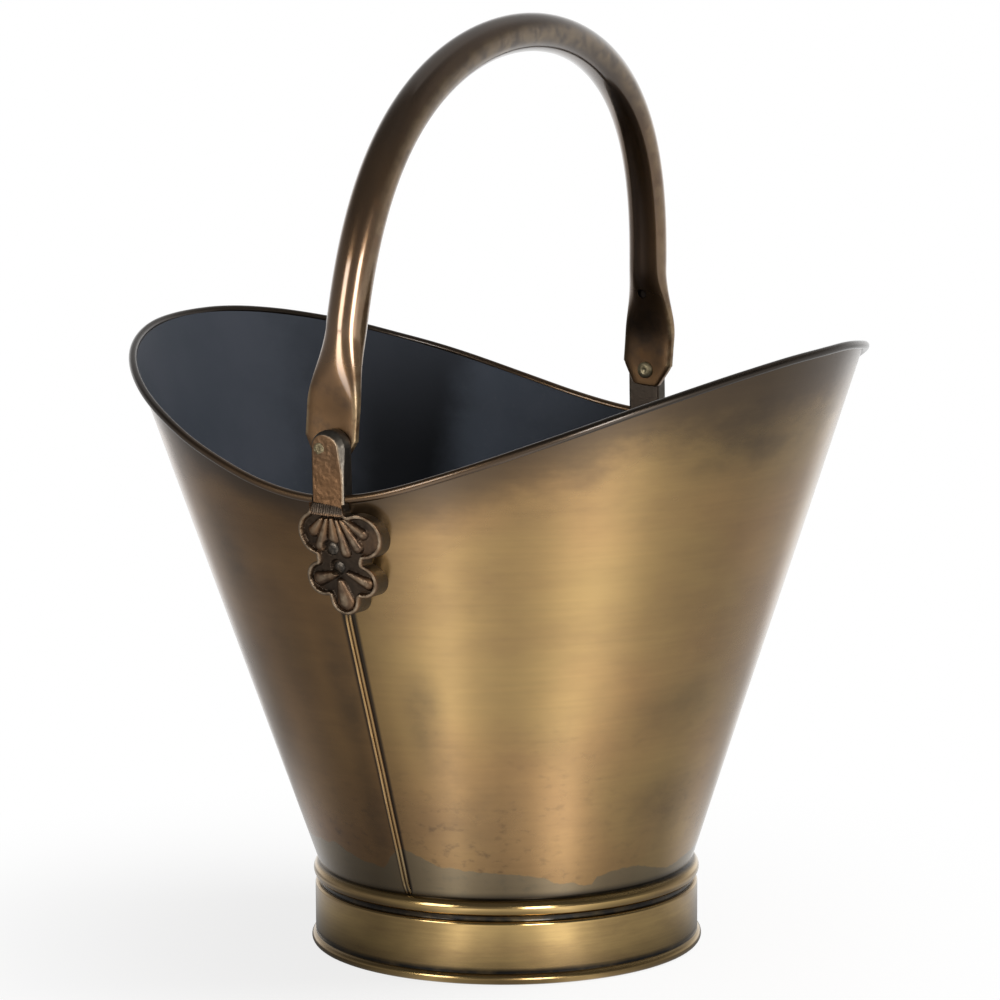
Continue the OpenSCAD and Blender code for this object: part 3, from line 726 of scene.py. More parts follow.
def sheetPiece(name, start, end, arc, outside):
    arcStart, arcEnd = (math.radians(a) for a in arc)
    step = math.radians(body["edgeStep"])
    angles = list(np.linspace(start, arcStart - step, body["edgeColumns"]))
    angles += list(np.linspace(arcStart + step, arcEnd - step, body["columns"]))
    angles += list(np.linspace(arcEnd + step, end, body["edgeColumns"]))
    outer, inner = [], []
    for angle in angles:
        onRoll = arcStart < angle < arcEnd
        top = rimHeight(angle) - body["trimDrop"] if onRoll else body["notchFoot"]
        for j in range(body["rows"]):
            z = body["sheetFoot"] + (top - body["sheetFoot"]) * j / (body["rows"] - 1)
            dent = dentAt(angle, z)
            for wall, off in ((outer, dent), (inner, dent - body["sheetT"])):
                r = wallR(z, off)
                wall.append((r * math.cos(angle), r * math.sin(angle), z))
    n, rows = len(angles), body["rows"]
    count = n * rows
    walls = gridFaces(n, rows)
    faces = walls + [tuple(k + count for k in reversed(f)) for f in walls]
    slots = [0] * len(walls) + [1] * len(walls)
    cut = [(i * rows + j, (i + 1) * rows + j) for i in range(n - 1) for j in (0, rows - 1)]
    cut += [(i * rows + j, i * rows + j + 1) for j in range(rows - 1) for i in (0, n - 1)]
    faces += [(a, b, b + count, a + count) for a, b in cut]
    slots += [0] * len(cut)
    sheet = meshPiece(name, toWorld(outer + inner), faces, (outside, innerPaint), slots,
                      body["sheetSharp"])
    markRimGap(sheet.data)
    grainUv(sheet.data)
    path = []
    for a in np.linspace(arcStart, arcEnd, body["rollPoints"]):
        wave = body["wave"] * noise.noise(Vector((a * body["waveTurns"], 0.5, 0)))
        path.append(rimPoint(a) + Vector((0, 0, wave)))
    source = sourceObject(toWorld(path), [(i, i + 1) for i in range(len(path) - 1)])
    roll = runTree(name + "Roll", beadTree, source, {
        "Radius": body["rollR"] * mm, "Sides": body["rollSides"], "Finish": outside})
    cleanMesh(roll.data, body["rollSharp"])
    roll.data.materials.append(innerPaint)
    markRimGap(roll.data, -0.001)
    grainUv(roll.data)
    return sheet, roll


hem = {
    "z": (43.0, 194.5), "rows": 60, "wander": 0.18, "wanderHeight": 23.0, "endRows": 1.5,
    "worn": (0.75, 1.35),
    # section of the fold: place across the seam, how far it stands off the wall
    "profile": [(-1.9, -0.1), (-1.88, 0.75), (-1.6, 1.35), (-1.1, 1.6), (-0.55, 1.45), (-0.2, 0.95),
                (-0.02, 0.62), (0.2, 0.95), (0.6, 1.45), (1.1, 1.6), (1.55, 1.45), (1.83, 0.9),
                (1.9, -0.1)],
}


def hemPiece(name, side, outside):
    low, high = hem["z"]
    n, rows = len(hem["profile"]), hem["rows"]
    points = []
    for u, off in hem["profile"]:
        for j in range(rows):
            z = low + (high - low) * j / (rows - 1)
            shift = u + hem["wander"] * noise.noise(
                Vector((0.3 * side, 0.0, z / hem["wanderHeight"])))
            ends = min(1.0, min(j, rows - 1 - j) / hem["endRows"])
            r = wallR(z, off if off < 0 else off * (0.25 + 0.75 * ends))
            turn = math.asin(shift / r)
            points.append((side * r * math.sin(turn), side * -r * math.cos(turn), z))
    faces = gridFaces(n, rows, closeColumns=True)
    faces.append(tuple(i * rows for i in range(n)))
    faces.append(tuple((n - 1 - i) * rows + rows - 1 for i in range(n)))
    strip = meshPiece(name, toWorld(points), faces, (outside, innerPaint), None,
                      body["rollSharp"])
    markRimGap(strip.data, 0.2)
    p = toBody(vertexPlaces(strip.data))
    off = (np.hypot(p[:, 0], p[:, 1]) - wallR(p[:, 2])) * tilt
    floatAttribute(strip.data, "ridge", smoothStep(off, *hem["worn"]))
    grainUv(strip.data)
    return strip


def makeBody():
    quarter = math.pi / 2
    gap = math.radians(body["halfGap"])
    front = joinMeshes("frontSheet", sheetPiece("frontSheet", gap - quarter, quarter - gap,
                                                body["frontArc"], frontBrass))
    parts = sheetPiece("rearSheet", quarter + gap, 3 * quarter - gap, body["rearArc"], rearBrass)
    rear = joinMeshes("rearSheet", [*parts, hemPiece("nearHem", 1, rearBrass),
                                    hemPiece("farHem", -1, rearBrass)])
    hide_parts("front_shell")
    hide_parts("rear_shell")
    for piece in (front, rear):
        piece.data.set_sharp_from_angle(angle=math.radians(body["sheetSharp"]))
        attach(piece, "bucket")
    print("body sheets ready")


def latheRingOf(name, profile, recessShadeAndGrime, segments, finish):
    # a ring turned from points of radius and height, each with how dark it is painted: grime, and
    # painted shade in the creases
    points = [(r * mm, 0.0, z * mm) for r, z in profile]
    return runTree(name, latheTree, sourceObject(points, (), {"recessShadeAndGrime": recessShadeAndGrime}), {
        "Profile Points": len(points), "Segments": segments, "Finish": finish})


foot = {
    "rollR": 97.7, "rollZ": 2.7, "rollSize": 2.8, "bandR": 98.5, "innerR": 97.6, "beadR": 94.9,
    "beadZ": 38.3, "beadSize": 4.4, "shoulderR": 97.0, "shoulderZ": 30.2, "shoulderSize": 1.5,
    "segments": 260, "meanR": 98.0,
}


def arcPoints(centreR, centreZ, size, first, last, count):
    return [(centreR + size * math.cos(math.radians(a)), centreZ + size * math.sin(math.radians(a)))
            for a in np.linspace(first, last, count)]


def makeFoot():
    # each point: radius, height, how dark: grime, and painted shade in the creases and the groove
    roll = arcPoints(foot["rollR"], foot["rollZ"], foot["rollSize"], 108, 431, 26)
    profile = [(r, max(z, 0.0), 0.15) for r, z in roll]
    profile += [(98.3, 5.55, 1.0), (98.3, 6.5, 1.0)]
    profile += [(foot["bandR"], z, d) for z, d in (
        (6.9, 0.9), (7.9, 0.7), (8.8, 0.25), (12.0, 0.12), (17.0, 0.0), (22.0, 0.0), (27.0, 0.0),
        (29.2, 0.0), (30.2, 0.0))]
    shoulder = arcPoints(foot["shoulderR"], foot["shoulderZ"], foot["shoulderSize"], 15, 90, 6)
    profile += [(r, z, 0.0) for r, z in shoulder]
    profile += [(96.4, 31.7, 0.4), (95.95, 31.9, 1.0), (95.8, 32.6, 1.0), (95.85, 33.4, 1.0)]
    bead = arcPoints(foot["beadR"], foot["beadZ"], foot["beadSize"], -75, 75, 22)
    profile += [(r, z, max(0.0, abs(z - foot["beadZ"]) - 2.9) * 0.7) for r, z in bead]
    profile += [(95.7, 42.9, 1.0), (95.0, 42.6, 1.0)]
    profile += [(r, z, 0.5) for r, z in (
        (93.3, 38.0), (93.1, 36.0), (94.4, 34.0), (94.8, 30.9), (foot["innerR"], 30.6),
        (foot["innerR"], 18.0), (foot["innerR"], 8.5))]
    profile.append((97.4, 6.0, 0.8))
    ring = latheRingOf("footRing", [(r, z) for r, z, _ in profile], [d for _, _, d in profile],
                       foot["segments"], footBrass)
    ring.data.transform(Matrix.Translation((body["footX"] * mm, 0, 0)))
    closeLathe(ring.data)
    cleanMesh(ring.data, 40.0)
    grainUv(ring.data, foot["meanR"])
    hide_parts("foot_band")
    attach(ring, "bucket")
    print("foot ready")


def closeLathe(mesh):
    # joins the last row of the profile back to the first
    bm = bmesh.new()
    bm.from_mesh(mesh)
    bmesh.ops.remove_doubles(bm, verts=bm.verts, dist=1e-6)
    edges = [e for e in bm.edges if e.is_boundary]
    bmesh.ops.bridge_loops(bm, edges=edges)
    bm.to_mesh(mesh)
    bm.free()


pan = {"low": 34.0, "high": 42.0, "sheet": 1.0, "inset": -0.85, "segments": 220}


def makeFloorPan():
    low, high, t = pan["low"], pan["high"], pan["sheet"]
    bend, edge, top = (wallR(z, pan["inset"]) for z in (low + 2, low + 3, high))
    dished = [(0.4, 0.9), (45.0, 0.35), (70.0, 0.1), (84.0, 0.0)]
    profile = [(r, low + z) for r, z in dished]
    profile += [(bend - 2.2, low + 0.15), (bend - 0.5, low + 0.9), (edge, low + 3.0), (top, high),
                (top - t, high), (edge - t, low + 3.0), (bend - 1.6, low + 1.5)]
    profile += [(r, low + t + z) for r, z in reversed(dished)]
    # the underside, in foot brass, is half darkened by the same mark: grime and painted shade
    disc = latheRingOf("floorPan", profile, [0.5] * len(profile), pan["segments"], innerPaint)
    places = vertexPlaces(disc.data)
    disc.data.vertices.foreach_set("co", toWorld(places / mm).astype(np.float32).ravel())
    closeLathe(disc.data)
    cleanMesh(disc.data, 40.0)
    disc.data.materials.append(footBrass)
    normals = np.array([tuple(p.normal) for p in disc.data.polygons])
    heights = np.array([p.center.z for p in disc.data.polygons]) / mm
    under = (normals[:, 2] < -0.3) & (heights < low + 1.6)
    disc.data.polygons.foreach_set("material_index", under.astype(np.int32))
    grainUv(disc.data)
    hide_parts("floor_pan")
    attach(disc, "bucket")
    print("floor pan ready")


def polygonDepth(p, corners):
    # distance inside (+) or outside (-) a polygon
    c = np.asarray(corners, float)
    near = np.full(len(p), 1e9)
    inside = np.zeros(len(p), bool)
    for a, b in zip(c, np.roll(c, -1, axis=0)):
        e, w = b - a, p - a
        t = np.clip(w @ e / (e @ e), 0, 1)
        near = np.minimum(near, np.linalg.norm(w - t[:, None] * e, axis=1))
        crosses = (a[1] > p[:, 1]) != (b[1] > p[:, 1])
        side = a[0] + (p[:, 1] - a[1]) / (b[1] - a[1] if b[1] != a[1] else 1e-9) * e[0]
        inside ^= crosses & (p[:, 0] < side)
    return np.where(inside, near, -near)


def castPiece(name, depthAt, low, high, step, front, back, place, sideRows=5):
    # a casting drawn as a flat outline: front and back give its height over each point
    us, vs = np.arange(low[0], high[0], step), np.arange(low[1], high[1], step)
    grid = np.stack(np.meshgrid(us, vs, indexing="ij"), -1)
    depth = depthAt(grid.reshape(-1, 2)).reshape(len(us), len(vs))
    least = 0.16 * step
    depth = np.where(np.abs(depth) < least, np.where(depth > 0, least, -least), depth)
    flat, index, rings, rimEdges, rim = [], {}, [], [], set()

    def vertex(key, spot):
        if key not in index:
            index[key] = len(flat)
            flat.append(spot)
        return index[key]

    for i in range(len(us) - 1):
        for j in range(len(vs) - 1):
            cell = ((i, j), (i + 1, j), (i + 1, j + 1), (i, j + 1))
            values = [depth[c] for c in cell]
            if max(values) <= 0:
                continue
            ring = []
            for k in range(4):
                a, b, da, db = cell[k], cell[(k + 1) % 4], values[k], values[(k + 1) % 4]
                if da > 0:
                    ring.append((vertex(a, grid[a]), False))
                if (da > 0) != (db > 0):
                    spot = grid[a] + (grid[b] - grid[a]) * da / (da - db)
                    ring.append((vertex((min(a, b), max(a, b)), spot), True))
            rings.append([r[0] for r in ring])
            for (a, cutA), (b, cutB) in zip(ring, ring[1:] + ring[:1]):
                if cutA and cutB:
                    rimEdges.append((a, b))
                    rim.update((a, b))
    flat = np.array(flat)
    rim = sorted(rim)
    edge = flat[rim]
    inner = np.concatenate([np.sqrt(((part[:, None] - edge[None]) ** 2).sum(-1)).min(1)
                            for part in np.array_split(flat, 40)])
    top = front(flat, inner)
    bottom = back(flat, inner)
    n = len(flat)
    points = [place(flat, top["height"]), place(flat, bottom["height"])]
    marks = {key: [top[key], bottom[key]] for key in ("hollow", "worn", "flank")}
    faces = rings + [[v + n for v in reversed(r)] for r in rings]
    rows = [{v: v for v in rim}]
    for k in range(1, sideRows):
        share = k / sideRows
        level = top["height"][rim] * (1 - share) + bottom["height"][rim] * share
        rows.append({v: 2 * n + (k - 1) * len(rim) + i for i, v in enumerate(rim)})
        points.append(place(edge, level))
        marks["flank"].append(np.ones(len(rim)))
        for key in ("hollow", "worn"):
            marks[key].append(np.zeros(len(rim)))
    rows.append({v: v + n for v in rim})
    for upper, lower in zip(rows, rows[1:]):
        faces += [(upper[b], upper[a], lower[a], lower[b]) for a, b in rimEdges]
    mesh = bpy.data.meshes.new(name)
    mesh.from_pydata([tuple(p) for p in np.concatenate(points)], [], faces)
    for key, parts in marks.items():
        floatAttribute(mesh, key, np.concatenate(parts))
    mesh.materials.append(castBrass)
    cleanMesh(mesh, 45.0)
    return linked(name, mesh)


ornament = {
    "shift": 9.6, "turn": math.radians(2.0), "foot": 247.0, "top": 250.5, "low": 190.5, "thick": 6.8,
    "swell": 5.0, "relief": 2.3, "border": 1.5, "seat": 0.05, "step": 0.36, "edge": 0.7,
    "lobes": [(-11.4, -12.0, 11.2), (11.1, -12.0, 11.2), (-12.0, -34.8, 8.7), (8.9, -34.6, 8.4),
              (-1.2, -44.6, 7.8)],
    "waist": [(-14.2, -2.0), (14.2, -2.0), (12.4, -19.0), (10.8, -25.0), (10.5, -30.0), (6.5, -46.0),
              (-8.5, -46.0), (-13.6, -30.0), (-14.0, -24.5), (-13.6, -19.0)],
    # each flute: its near end, its tip, and its half widths there
    "flutes": [((-8.8, -4.6), (-16.0, -13.0), 1.3, 3.0), ((-5.9, -4.6), (-12.6, -20.8), 1.2, 3.2),
               ((-3.2, -4.4), (-3.6, -16.5), 1.4, 3.2), ((-0.4, -4.6), (2.6, -23.0), 1.1, 2.8),
               ((2.0, -4.6), (9.9, -19.8), 1.2, 3.0), ((4.0, -4.0), (14.0, -12.2), 1.2, 3.0),
               ((-5.0, -32.2), (-17.3, -36.2), 1.6, 3.6), ((2.4, -31.0), (14.2, -36.8), 1.4, 3.2),
               ((-2.6, -36.0), (-0.6, -50.2), 2.2, 4.9)],
    "rivets": [(3.0, 228.5), (4.8, 218.9)], "rivetSeat": 4.8, "pocketR": 3.3,
    "tabShift": 4.4, "tabW": 17.8, "tabIn": 161.734, "tabOut": 170.334, "pivotZ": 276.8,
    "ledgeFoot": -2.6, "tabStep": 0.42,
    # corners of the area that each outline is drawn in
    "span": ((-24.5, -56.0), (24.5, 4.6)), "tabSpan": ((-9.6, -31.0), (9.6, 9.6)),
}


def ornamentDepth(p):
    depth = polygonDepth(p, ornament["waist"])
    for u, v, r in ornament["lobes"]:
        depth = np.maximum(depth, r - np.hypot(p[:, 0] - u, p[:, 1] - v))
    middle = ornament["tabShift"] - ornament["shift"]
    half = ornament["tabW"] / 2
    block = np.minimum(half - np.abs(p[:, 0] - middle), np.minimum(p[:, 1] + 10.0, 3.4 - p[:, 1]))
    blend = np.clip(3.0 - np.abs(depth - block), 0, None)
    return np.maximum(depth, block) + blend * blend / 12.0


def ornamentPlace(p, height):
    c, s = math.cos(ornament["turn"]), math.sin(ornament["turn"])
    x = ornament["shift"] + p[:, 0] * c + p[:, 1] * s
    z = ornament["foot"] - p[:, 0] * s + p[:, 1] * c
    r = wallR(z, height)
    return toWorld(np.stack([x, -np.sqrt(r * r - x * x), z], 1))


def wobble(p, scale, seed):
    return np.array([noise.noise(Vector((u / scale, v / scale, seed))) for u, v in p])


def ornamentFront(p, depth):
    o = ornament
    z = o["foot"] + p[:, 1]
    full = o["thick"] + o["swell"] * (o["top"] - z) / (o["top"] - o["low"])
    rimShape = 1 - smoothStep(depth, o["border"], o["border"] + 0.9)
    field = full - o["relief"] + 0.12 * wobble(p, 2.3, 1.0)
    crown = 0.18 * np.cos(np.clip((depth - 0.9) / 1.2, -1.5, 1.5))
    height = field + (full + crown - 0.18 - field) * rimShape
    best = np.full(len(p), -9.0)
    dome = np.zeros(len(p))
    for near, tip, narrow, wide in o["flutes"]:
        a, b = np.array(near), np.array(tip)
        b = b - (b - a) / np.linalg.norm(b - a) * wide * 0.85
        e = b - a
        t = np.clip((p - a) @ e / (e @ e), 0, 1)
        far = np.linalg.norm(p - a - t[:, None] * e, axis=1)
        half = narrow + (wide - narrow) * t ** 0.8
        share = np.clip(1 - (far / half) ** 2, 0, 1)
        best = np.where(share > dome, t, best)
        dome = np.maximum(dome, share)
    # a groove sinks round every flute
    ripple = (o["relief"] + 0.1) * np.sqrt(dome) - 0.35 * (dome <= 0)
    inside = smoothStep(depth, o["border"] * 0.5, o["border"] + 0.6)
    height = np.maximum(height, field + ripple * inside - 0.1)
    for x, zr in o["rivets"]:
        c, s = math.cos(o["turn"]), math.sin(o["turn"])
        dx, dz = x - o["shift"], zr - o["foot"]
        u, v = dx * c - dz * s, dx * s + dz * c
        far = np.hypot(p[:, 0] - u, p[:, 1] - v)
        pocket = smoothStep(far, o["pocketR"], o["pocketR"] + 0.7)
        height = height * pocket + np.minimum(height, o["rivetSeat"] + 0.15) * (1 - pocket)
    # the ribbed ledge that slopes back to the tab
    middle, half = o["tabShift"] - o["shift"], o["tabW"] / 2
    onLedge = smoothStep(half - np.abs(p[:, 0] - middle), 0.0, 0.5) \
        * smoothStep(p[:, 1], o["ledgeFoot"] - 0.4, o["ledgeFoot"] + 0.3)
    rise = np.clip((p[:, 1] - o["ledgeFoot"]) / (3.4 - o["ledgeFoot"]), 0, 1)
    ledge = full - 0.1 - 3.0 * rise + 0.13 * np.sin(p[:, 0] * 5.2) * smoothStep(rise, 0.05, 0.2)
    height = height * (1 - onLedge) + ledge * onLedge
    fillet = np.clip(1 - depth / o["edge"], 0, 1)
    height = height - 0.55 * o["edge"] * (1 - np.sqrt(np.clip(1 - fillet * fillet, 0, 1)))
    below = full - height
    patchy = 0.5 + 0.5 * np.clip(wobble(p, 4.2, 7.0) * 2.2, -1, 1)
    crest = np.exp(-((depth - 1.0) / 0.55) ** 2) * (1 - onLedge)
    worn = np.clip(crest * (0.35 + 0.95 * patchy) + 0.62 * smoothStep(dome, 0.72, 1.0) * inside
                   * (0.25 + 0.75 * patchy), 0, 1)
    hollow = smoothStep(below, 0.9, 2.2)
    warm = smoothStep(p[:, 0], 8.5, 12.0) * smoothStep(-p[:, 1], 7.0, 11.0) \
        * smoothStep(p[:, 1], -25.0, -21.0)
    return {"height": height, "hollow": hollow * (1 - 0.85 * warm), "worn": worn,
            "flank": 0.6 * onLedge * smoothStep(rise, 0.1, 0.3)}


def ornamentBack(p, depth):
    return {"height": np.full(len(p), ornament["seat"]), "hollow": np.zeros(len(p)),
            "worn": np.zeros(len(p)), "flank": np.ones(len(p))}


def tabDepth(p):
    # x against height above the pivot
    half = ornament["tabW"] / 2
    foot = ornament["foot"] - ornament["pivotZ"] - 0.5
    straight = np.minimum(half - np.abs(p[:, 0]), p[:, 1] - foot)
    return np.where(p[:, 1] < 0, straight, half - np.hypot(p[:, 0], p[:, 1]))


def tabPlace(p, y):
    return toWorld(np.stack([ornament["tabShift"] + p[:, 0], -y, ornament["pivotZ"] + p[:, 1]], 1))


def edgeDrop(depth, size):
    share = np.clip(1 - depth / size, 0, 1)
    return size * (1 - np.sqrt(np.clip(1 - share * share, 0, 1)))


def tabFront(p, depth):
    # a filed bevel that widens toward the top and the right
    bevel = 0.7 + 2.3 * smoothStep(p[:, 1], -16.0, 4.0) * smoothStep(p[:, 0], -8.0, 3.0)
    hammered = 0.12 * wobble(p, 1.7, 3.0) + 0.18 * wobble(p, 5.0, 4.0)
    drop = 0.75 * np.clip(bevel - depth, 0, None) + 0.35 * np.clip(0.6 - depth, 0, None)
    height = ornament["tabOut"] - 0.08 - drop + hammered * smoothStep(depth, 0.8 * bevel, 2.5 * bevel)
    patchy = 0.5 + 0.5 * np.clip(wobble(p, 3.0, 9.0) * 2.0, -1, 1)
    worn = np.exp(-((depth - bevel) / 0.38) ** 2) * smoothStep(p[:, 0], -4.0, 4.0)
    return {"height": height, "hollow": np.zeros(len(p)), "worn": worn * (0.35 + 0.65 * patchy),
            "flank": smoothStep(bevel - depth, -0.1, 0.25)}


def tabBack(p, depth):
    return {"height": ornament["tabIn"] + edgeDrop(depth, 0.8), "hollow": np.zeros(len(p)),
            "worn": np.zeros(len(p)), "flank": np.full(len(p), 0.8)}


def halfTurn():
    # half a turn about the body's own leaning axis
    there = [Vector(p) for p in toWorld([(0, 0, 0), (0, 0, 100)])]
    axis = (there[1] - there[0]).normalized()
    return Matrix.Translation(there[0]) @ Matrix.Rotation(math.pi, 4, axis) \
        @ Matrix.Translation(-there[0])


def makeBrackets():
    crest = castPiece("crest", ornamentDepth, *ornament["span"], ornament["step"], ornamentFront,
                      ornamentBack, ornamentPlace)
    tab = castPiece("tab", tabDepth, *ornament["tabSpan"], ornament["tabStep"], tabFront, tabBack,
                    tabPlace)
    right = joinMeshes("rightBracket", [crest, tab])
    leftMesh = right.data.copy()
    leftMesh.transform(halfTurn())
    left = linked("leftBracket", leftMesh)
    for piece, node in ((right, "right_bracket"), (left, "left_bracket")):
        piece.data.set_sharp_from_angle(angle=math.radians(45.0))
        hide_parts(node)
        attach(piece, "bucket")
    print("brackets ready")


rivets = {
    # each kind of head: radius, height, depth of its dimple and of the hammering
    "head": (4.3, 2.0, 0.1, 0.9), "tail": (3.1, 0.85, 0.0, 0.2),
    "pivotHead": (4.5, 1.7, 0.6, 0.2), "pivotTail": (3.25, 1.0, 0.5, 1.2),
    "tailSeat": -0.9, "pivotHeadY": -155.684, "pivotTailY": -170.36,
    # a bracket rivet's shank runs between two distances from the wall
    "shankR": 1.9, "shankEnds": (-1.0, 4.9), "pivotShankR": 2.5, "pivotOverlap": 0.1,
    "shankSides": 32, "sharp": 50.0,
}


def wallPoint(x, z, off):
    # a point square off the wall, and the direction it faces, both in the body's frame
    turn = math.asin(x / wallR(z))
    facing = Vector((0, -math.cos(body["flare"]), -math.sin(body["flare"])))
    spin = Matrix.Rotation(turn, 3, "Z")
    spot = Vector((0, -wallR(z), z)) + facing * off
    return spin @ spot, spin @ facing


def rivetSet(name, spots, kind, finish):
    # a head at each spot: its point and direction in the body's frame
    points = toWorld([p for p, _ in spots])
    axes = toWorld([p + d for p, d in spots]) - points
    axes /= np.linalg.norm(axes, axis=1)[:, None]
    sizes = zip(("Radius", "Height", "Dimple", "Hammering"), (v * mm for v in rivets[kind]))
    heads = runTree(name, rivetTree, sourceObject(points, (), {"axis": axes}),
                    dict(sizes, Finish=finish))
    cleanMesh(heads.data, rivets["sharp"])
    return heads


def turned(spots):
    return [(Vector((-p.x, -p.y, p.z)), Vector((-d.x, -d.y, d.z))) for p, d in spots]


def shankPiece(name, low, high, radius, finish):
    # a round bar between two points of the body's frame
    a, b = (Vector(p) for p in toWorld([low, high]))
    axis = (b - a).normalized()
    side = axis.orthogonal().normalized()
    other = axis.cross(side)
    n = rivets["shankSides"]
    points = []
    for spot in (a, b):
        for k in range(n):
            t = 2 * math.pi * k / n
            points.append(spot + (side * math.cos(t) + other * math.sin(t)) * radius * mm)
    faces = [(k, (k + 1) % n, n + (k + 1) % n, n + k) for k in range(n)]
    faces += [tuple(range(n)), tuple(range(2 * n - 1, n - 1, -1))]
    return meshPiece(name, points, faces, (finish,), None, 40.0)


def makeRivets():
    r, z = rivets, ornament["pivotZ"]
    outside = [wallPoint(x, up, ornament["rivetSeat"]) for x, up in ornament["rivets"]]
    inside = [(p, -d) for p, d in (wallPoint(x, up, r["tailSeat"]) for x, up in ornament["rivets"])]
    head = [(Vector((0, r["pivotHeadY"], z)), Vector((0, 1, 0)))]
    tail = [(Vector((0, r["pivotTailY"], z)), Vector((0, -1, 0)))]
    for side, change in (("right", list), ("left", turned)):
        parts = [rivetSet("heads", change(outside), "head", darkRivet),
                 rivetSet("tails", change(inside), "tail", darkRivet)]
        for x, up in ornament["rivets"]:
            ends = change([(wallPoint(x, up, off)[0], Vector()) for off in r["shankEnds"]])
            parts.append(shankPiece("shank", ends[0][0], ends[1][0], r["shankR"], darkRivet))
        pair = joinMeshes(side + "BracketRivets", parts)
        pair.data.set_sharp_from_angle(angle=math.radians(rivets["sharp"]))
        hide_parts(side + "_bracket_rivets")
        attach(pair, "bucket")
        parts = [rivetSet("head", change(head), "pivotHead", paleRivet),
                 rivetSet("tail", change(tail), "pivotTail", paleRivet)]
        ends = change([(Vector((0, y, z)), Vector()) for y in (
            r["pivotHeadY"] - r["pivotOverlap"], r["pivotTailY"] + r["pivotOverlap"])])
        parts.append(shankPiece("pin", ends[0][0], ends[1][0], r["pivotShankR"], paleRivet))
        pivot = joinMeshes(side + "PivotRivet", parts)
        pivot.data.set_sharp_from_angle(angle=math.radians(rivets["sharp"]))
        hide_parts(side + "_pivot_rivet")
        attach(pivot, "bucket")
    print("rivets ready")


handle = {
    "archW": 154.234, "archH": 258.0, "archDrop": 68.0, "archPower": 0.457, "flatY": 158.634,
    "tubeW": 20.2, "tubeH": 19.4, "flatW": 28.6, "flatT": 5.6, "flatTop": 18.0, "roundTop": 56.0,
    "thinTop": 12.5, "thickTop": 61.0,
    "end": 8.5, "cornerW": 17.5, "cornerStart": 3.4, "tilt": math.radians(5.2), "pivotZ": 276.8,
    "boreR": 2.58, "ventR": 2.25, "ventRise": 42.5, "dish": 0.5, "ring": 64, "sootRise": 20.0,
    "sootReach": 15.0,
}


def archY(w):
    h = handle
    return h["archW"] * math.cos(math.asin(((w + h["archDrop"]) / h["archH"]) ** (1 / h["archPower"])))


def flatness(w, low=None, high=None):
    low, high = low or handle["flatTop"], high or handle["roundTop"]
    t = min(1.0, max(0.0, (high - w) / (high - low)))
    return t * t * (3 - 2 * t)


def halfLine():
    # from the end of one leg to the crown: distance from the middle, and height
    h = handle
    flat = [(h["flatY"], w) for w in np.linspace(-h["end"], h["flatTop"], 34)]
    bend = [(archY(w) + (h["flatY"] - archY(w)) * flatness(w), w)
            for w in np.linspace(h["flatTop"], h["roundTop"], 40)[1:]]
    first = math.asin(((h["roundTop"] + h["archDrop"]) / h["archH"]) ** (1 / h["archPower"]))
    arch = [(h["archW"] * math.cos(a), h["archH"] * math.sin(a) ** h["archPower"] - h["archDrop"])
            for a in np.linspace(first, math.pi / 2, 90)[1:]]
    return flat + bend + arch


def handleRing(line, i):
    h = handle
    y, w = line[i]
    before, after = line[max(i - 1, 0)], line[min(i + 1, len(line) - 1)]
    t = Vector((0, after[0] - before[0], after[1] - before[1])).normalized()
    v = Vector((1, 0, 0)).cross(t)
    f = flatness(w)
    across = h["tubeW"] / 2 + (h["flatW"] - h["tubeW"]) / 2 * f
    thick = h["tubeH"] / 2 + (h["flatT"] - h["tubeH"]) / 2 * flatness(w, h["thinTop"], h["thickTop"])
    rise = w + h["end"]
    if w < h["cornerStart"]:
        widest = h["flatW"] / 2
        narrow = h["cornerW"] / 2
        start = -0.7 * h["end"]
        cut = narrow + (w - start) * (widest - narrow) / (h["cornerStart"] - start)
        soft = max(0.0, 1.6 - abs(across - cut))
        across = min(across, cut) - soft * soft / 6.4
    if rise < 1.2:  # rounded end
        back = 1.2 - math.sqrt(max(0.0, 1.44 - (1.2 - rise) ** 2))
        across, thick = across - back, thick - back
    dish = h["dish"] * f ** 4 * min(1.0, rise / 9.0)
    power = 2 / (2 + 2.4 * f ** 4)  # round at the tube, squarer in the flat
    outline = []
    for k in range(h["ring"]):
        a = 2 * math.pi * (k + 0.5) / h["ring"]
        x = across * math.copysign(abs(math.cos(a)) ** power, math.cos(a))
        d = thick * math.copysign(abs(math.sin(a)) ** power, math.sin(a))
        hollow = dish * max(0.0, 1 - (x / (0.8 * across)) ** 2) ** 1.5
        outline.append(Vector((x, y, w)) + v * float(d - math.copysign(hollow, d)))
    return outline


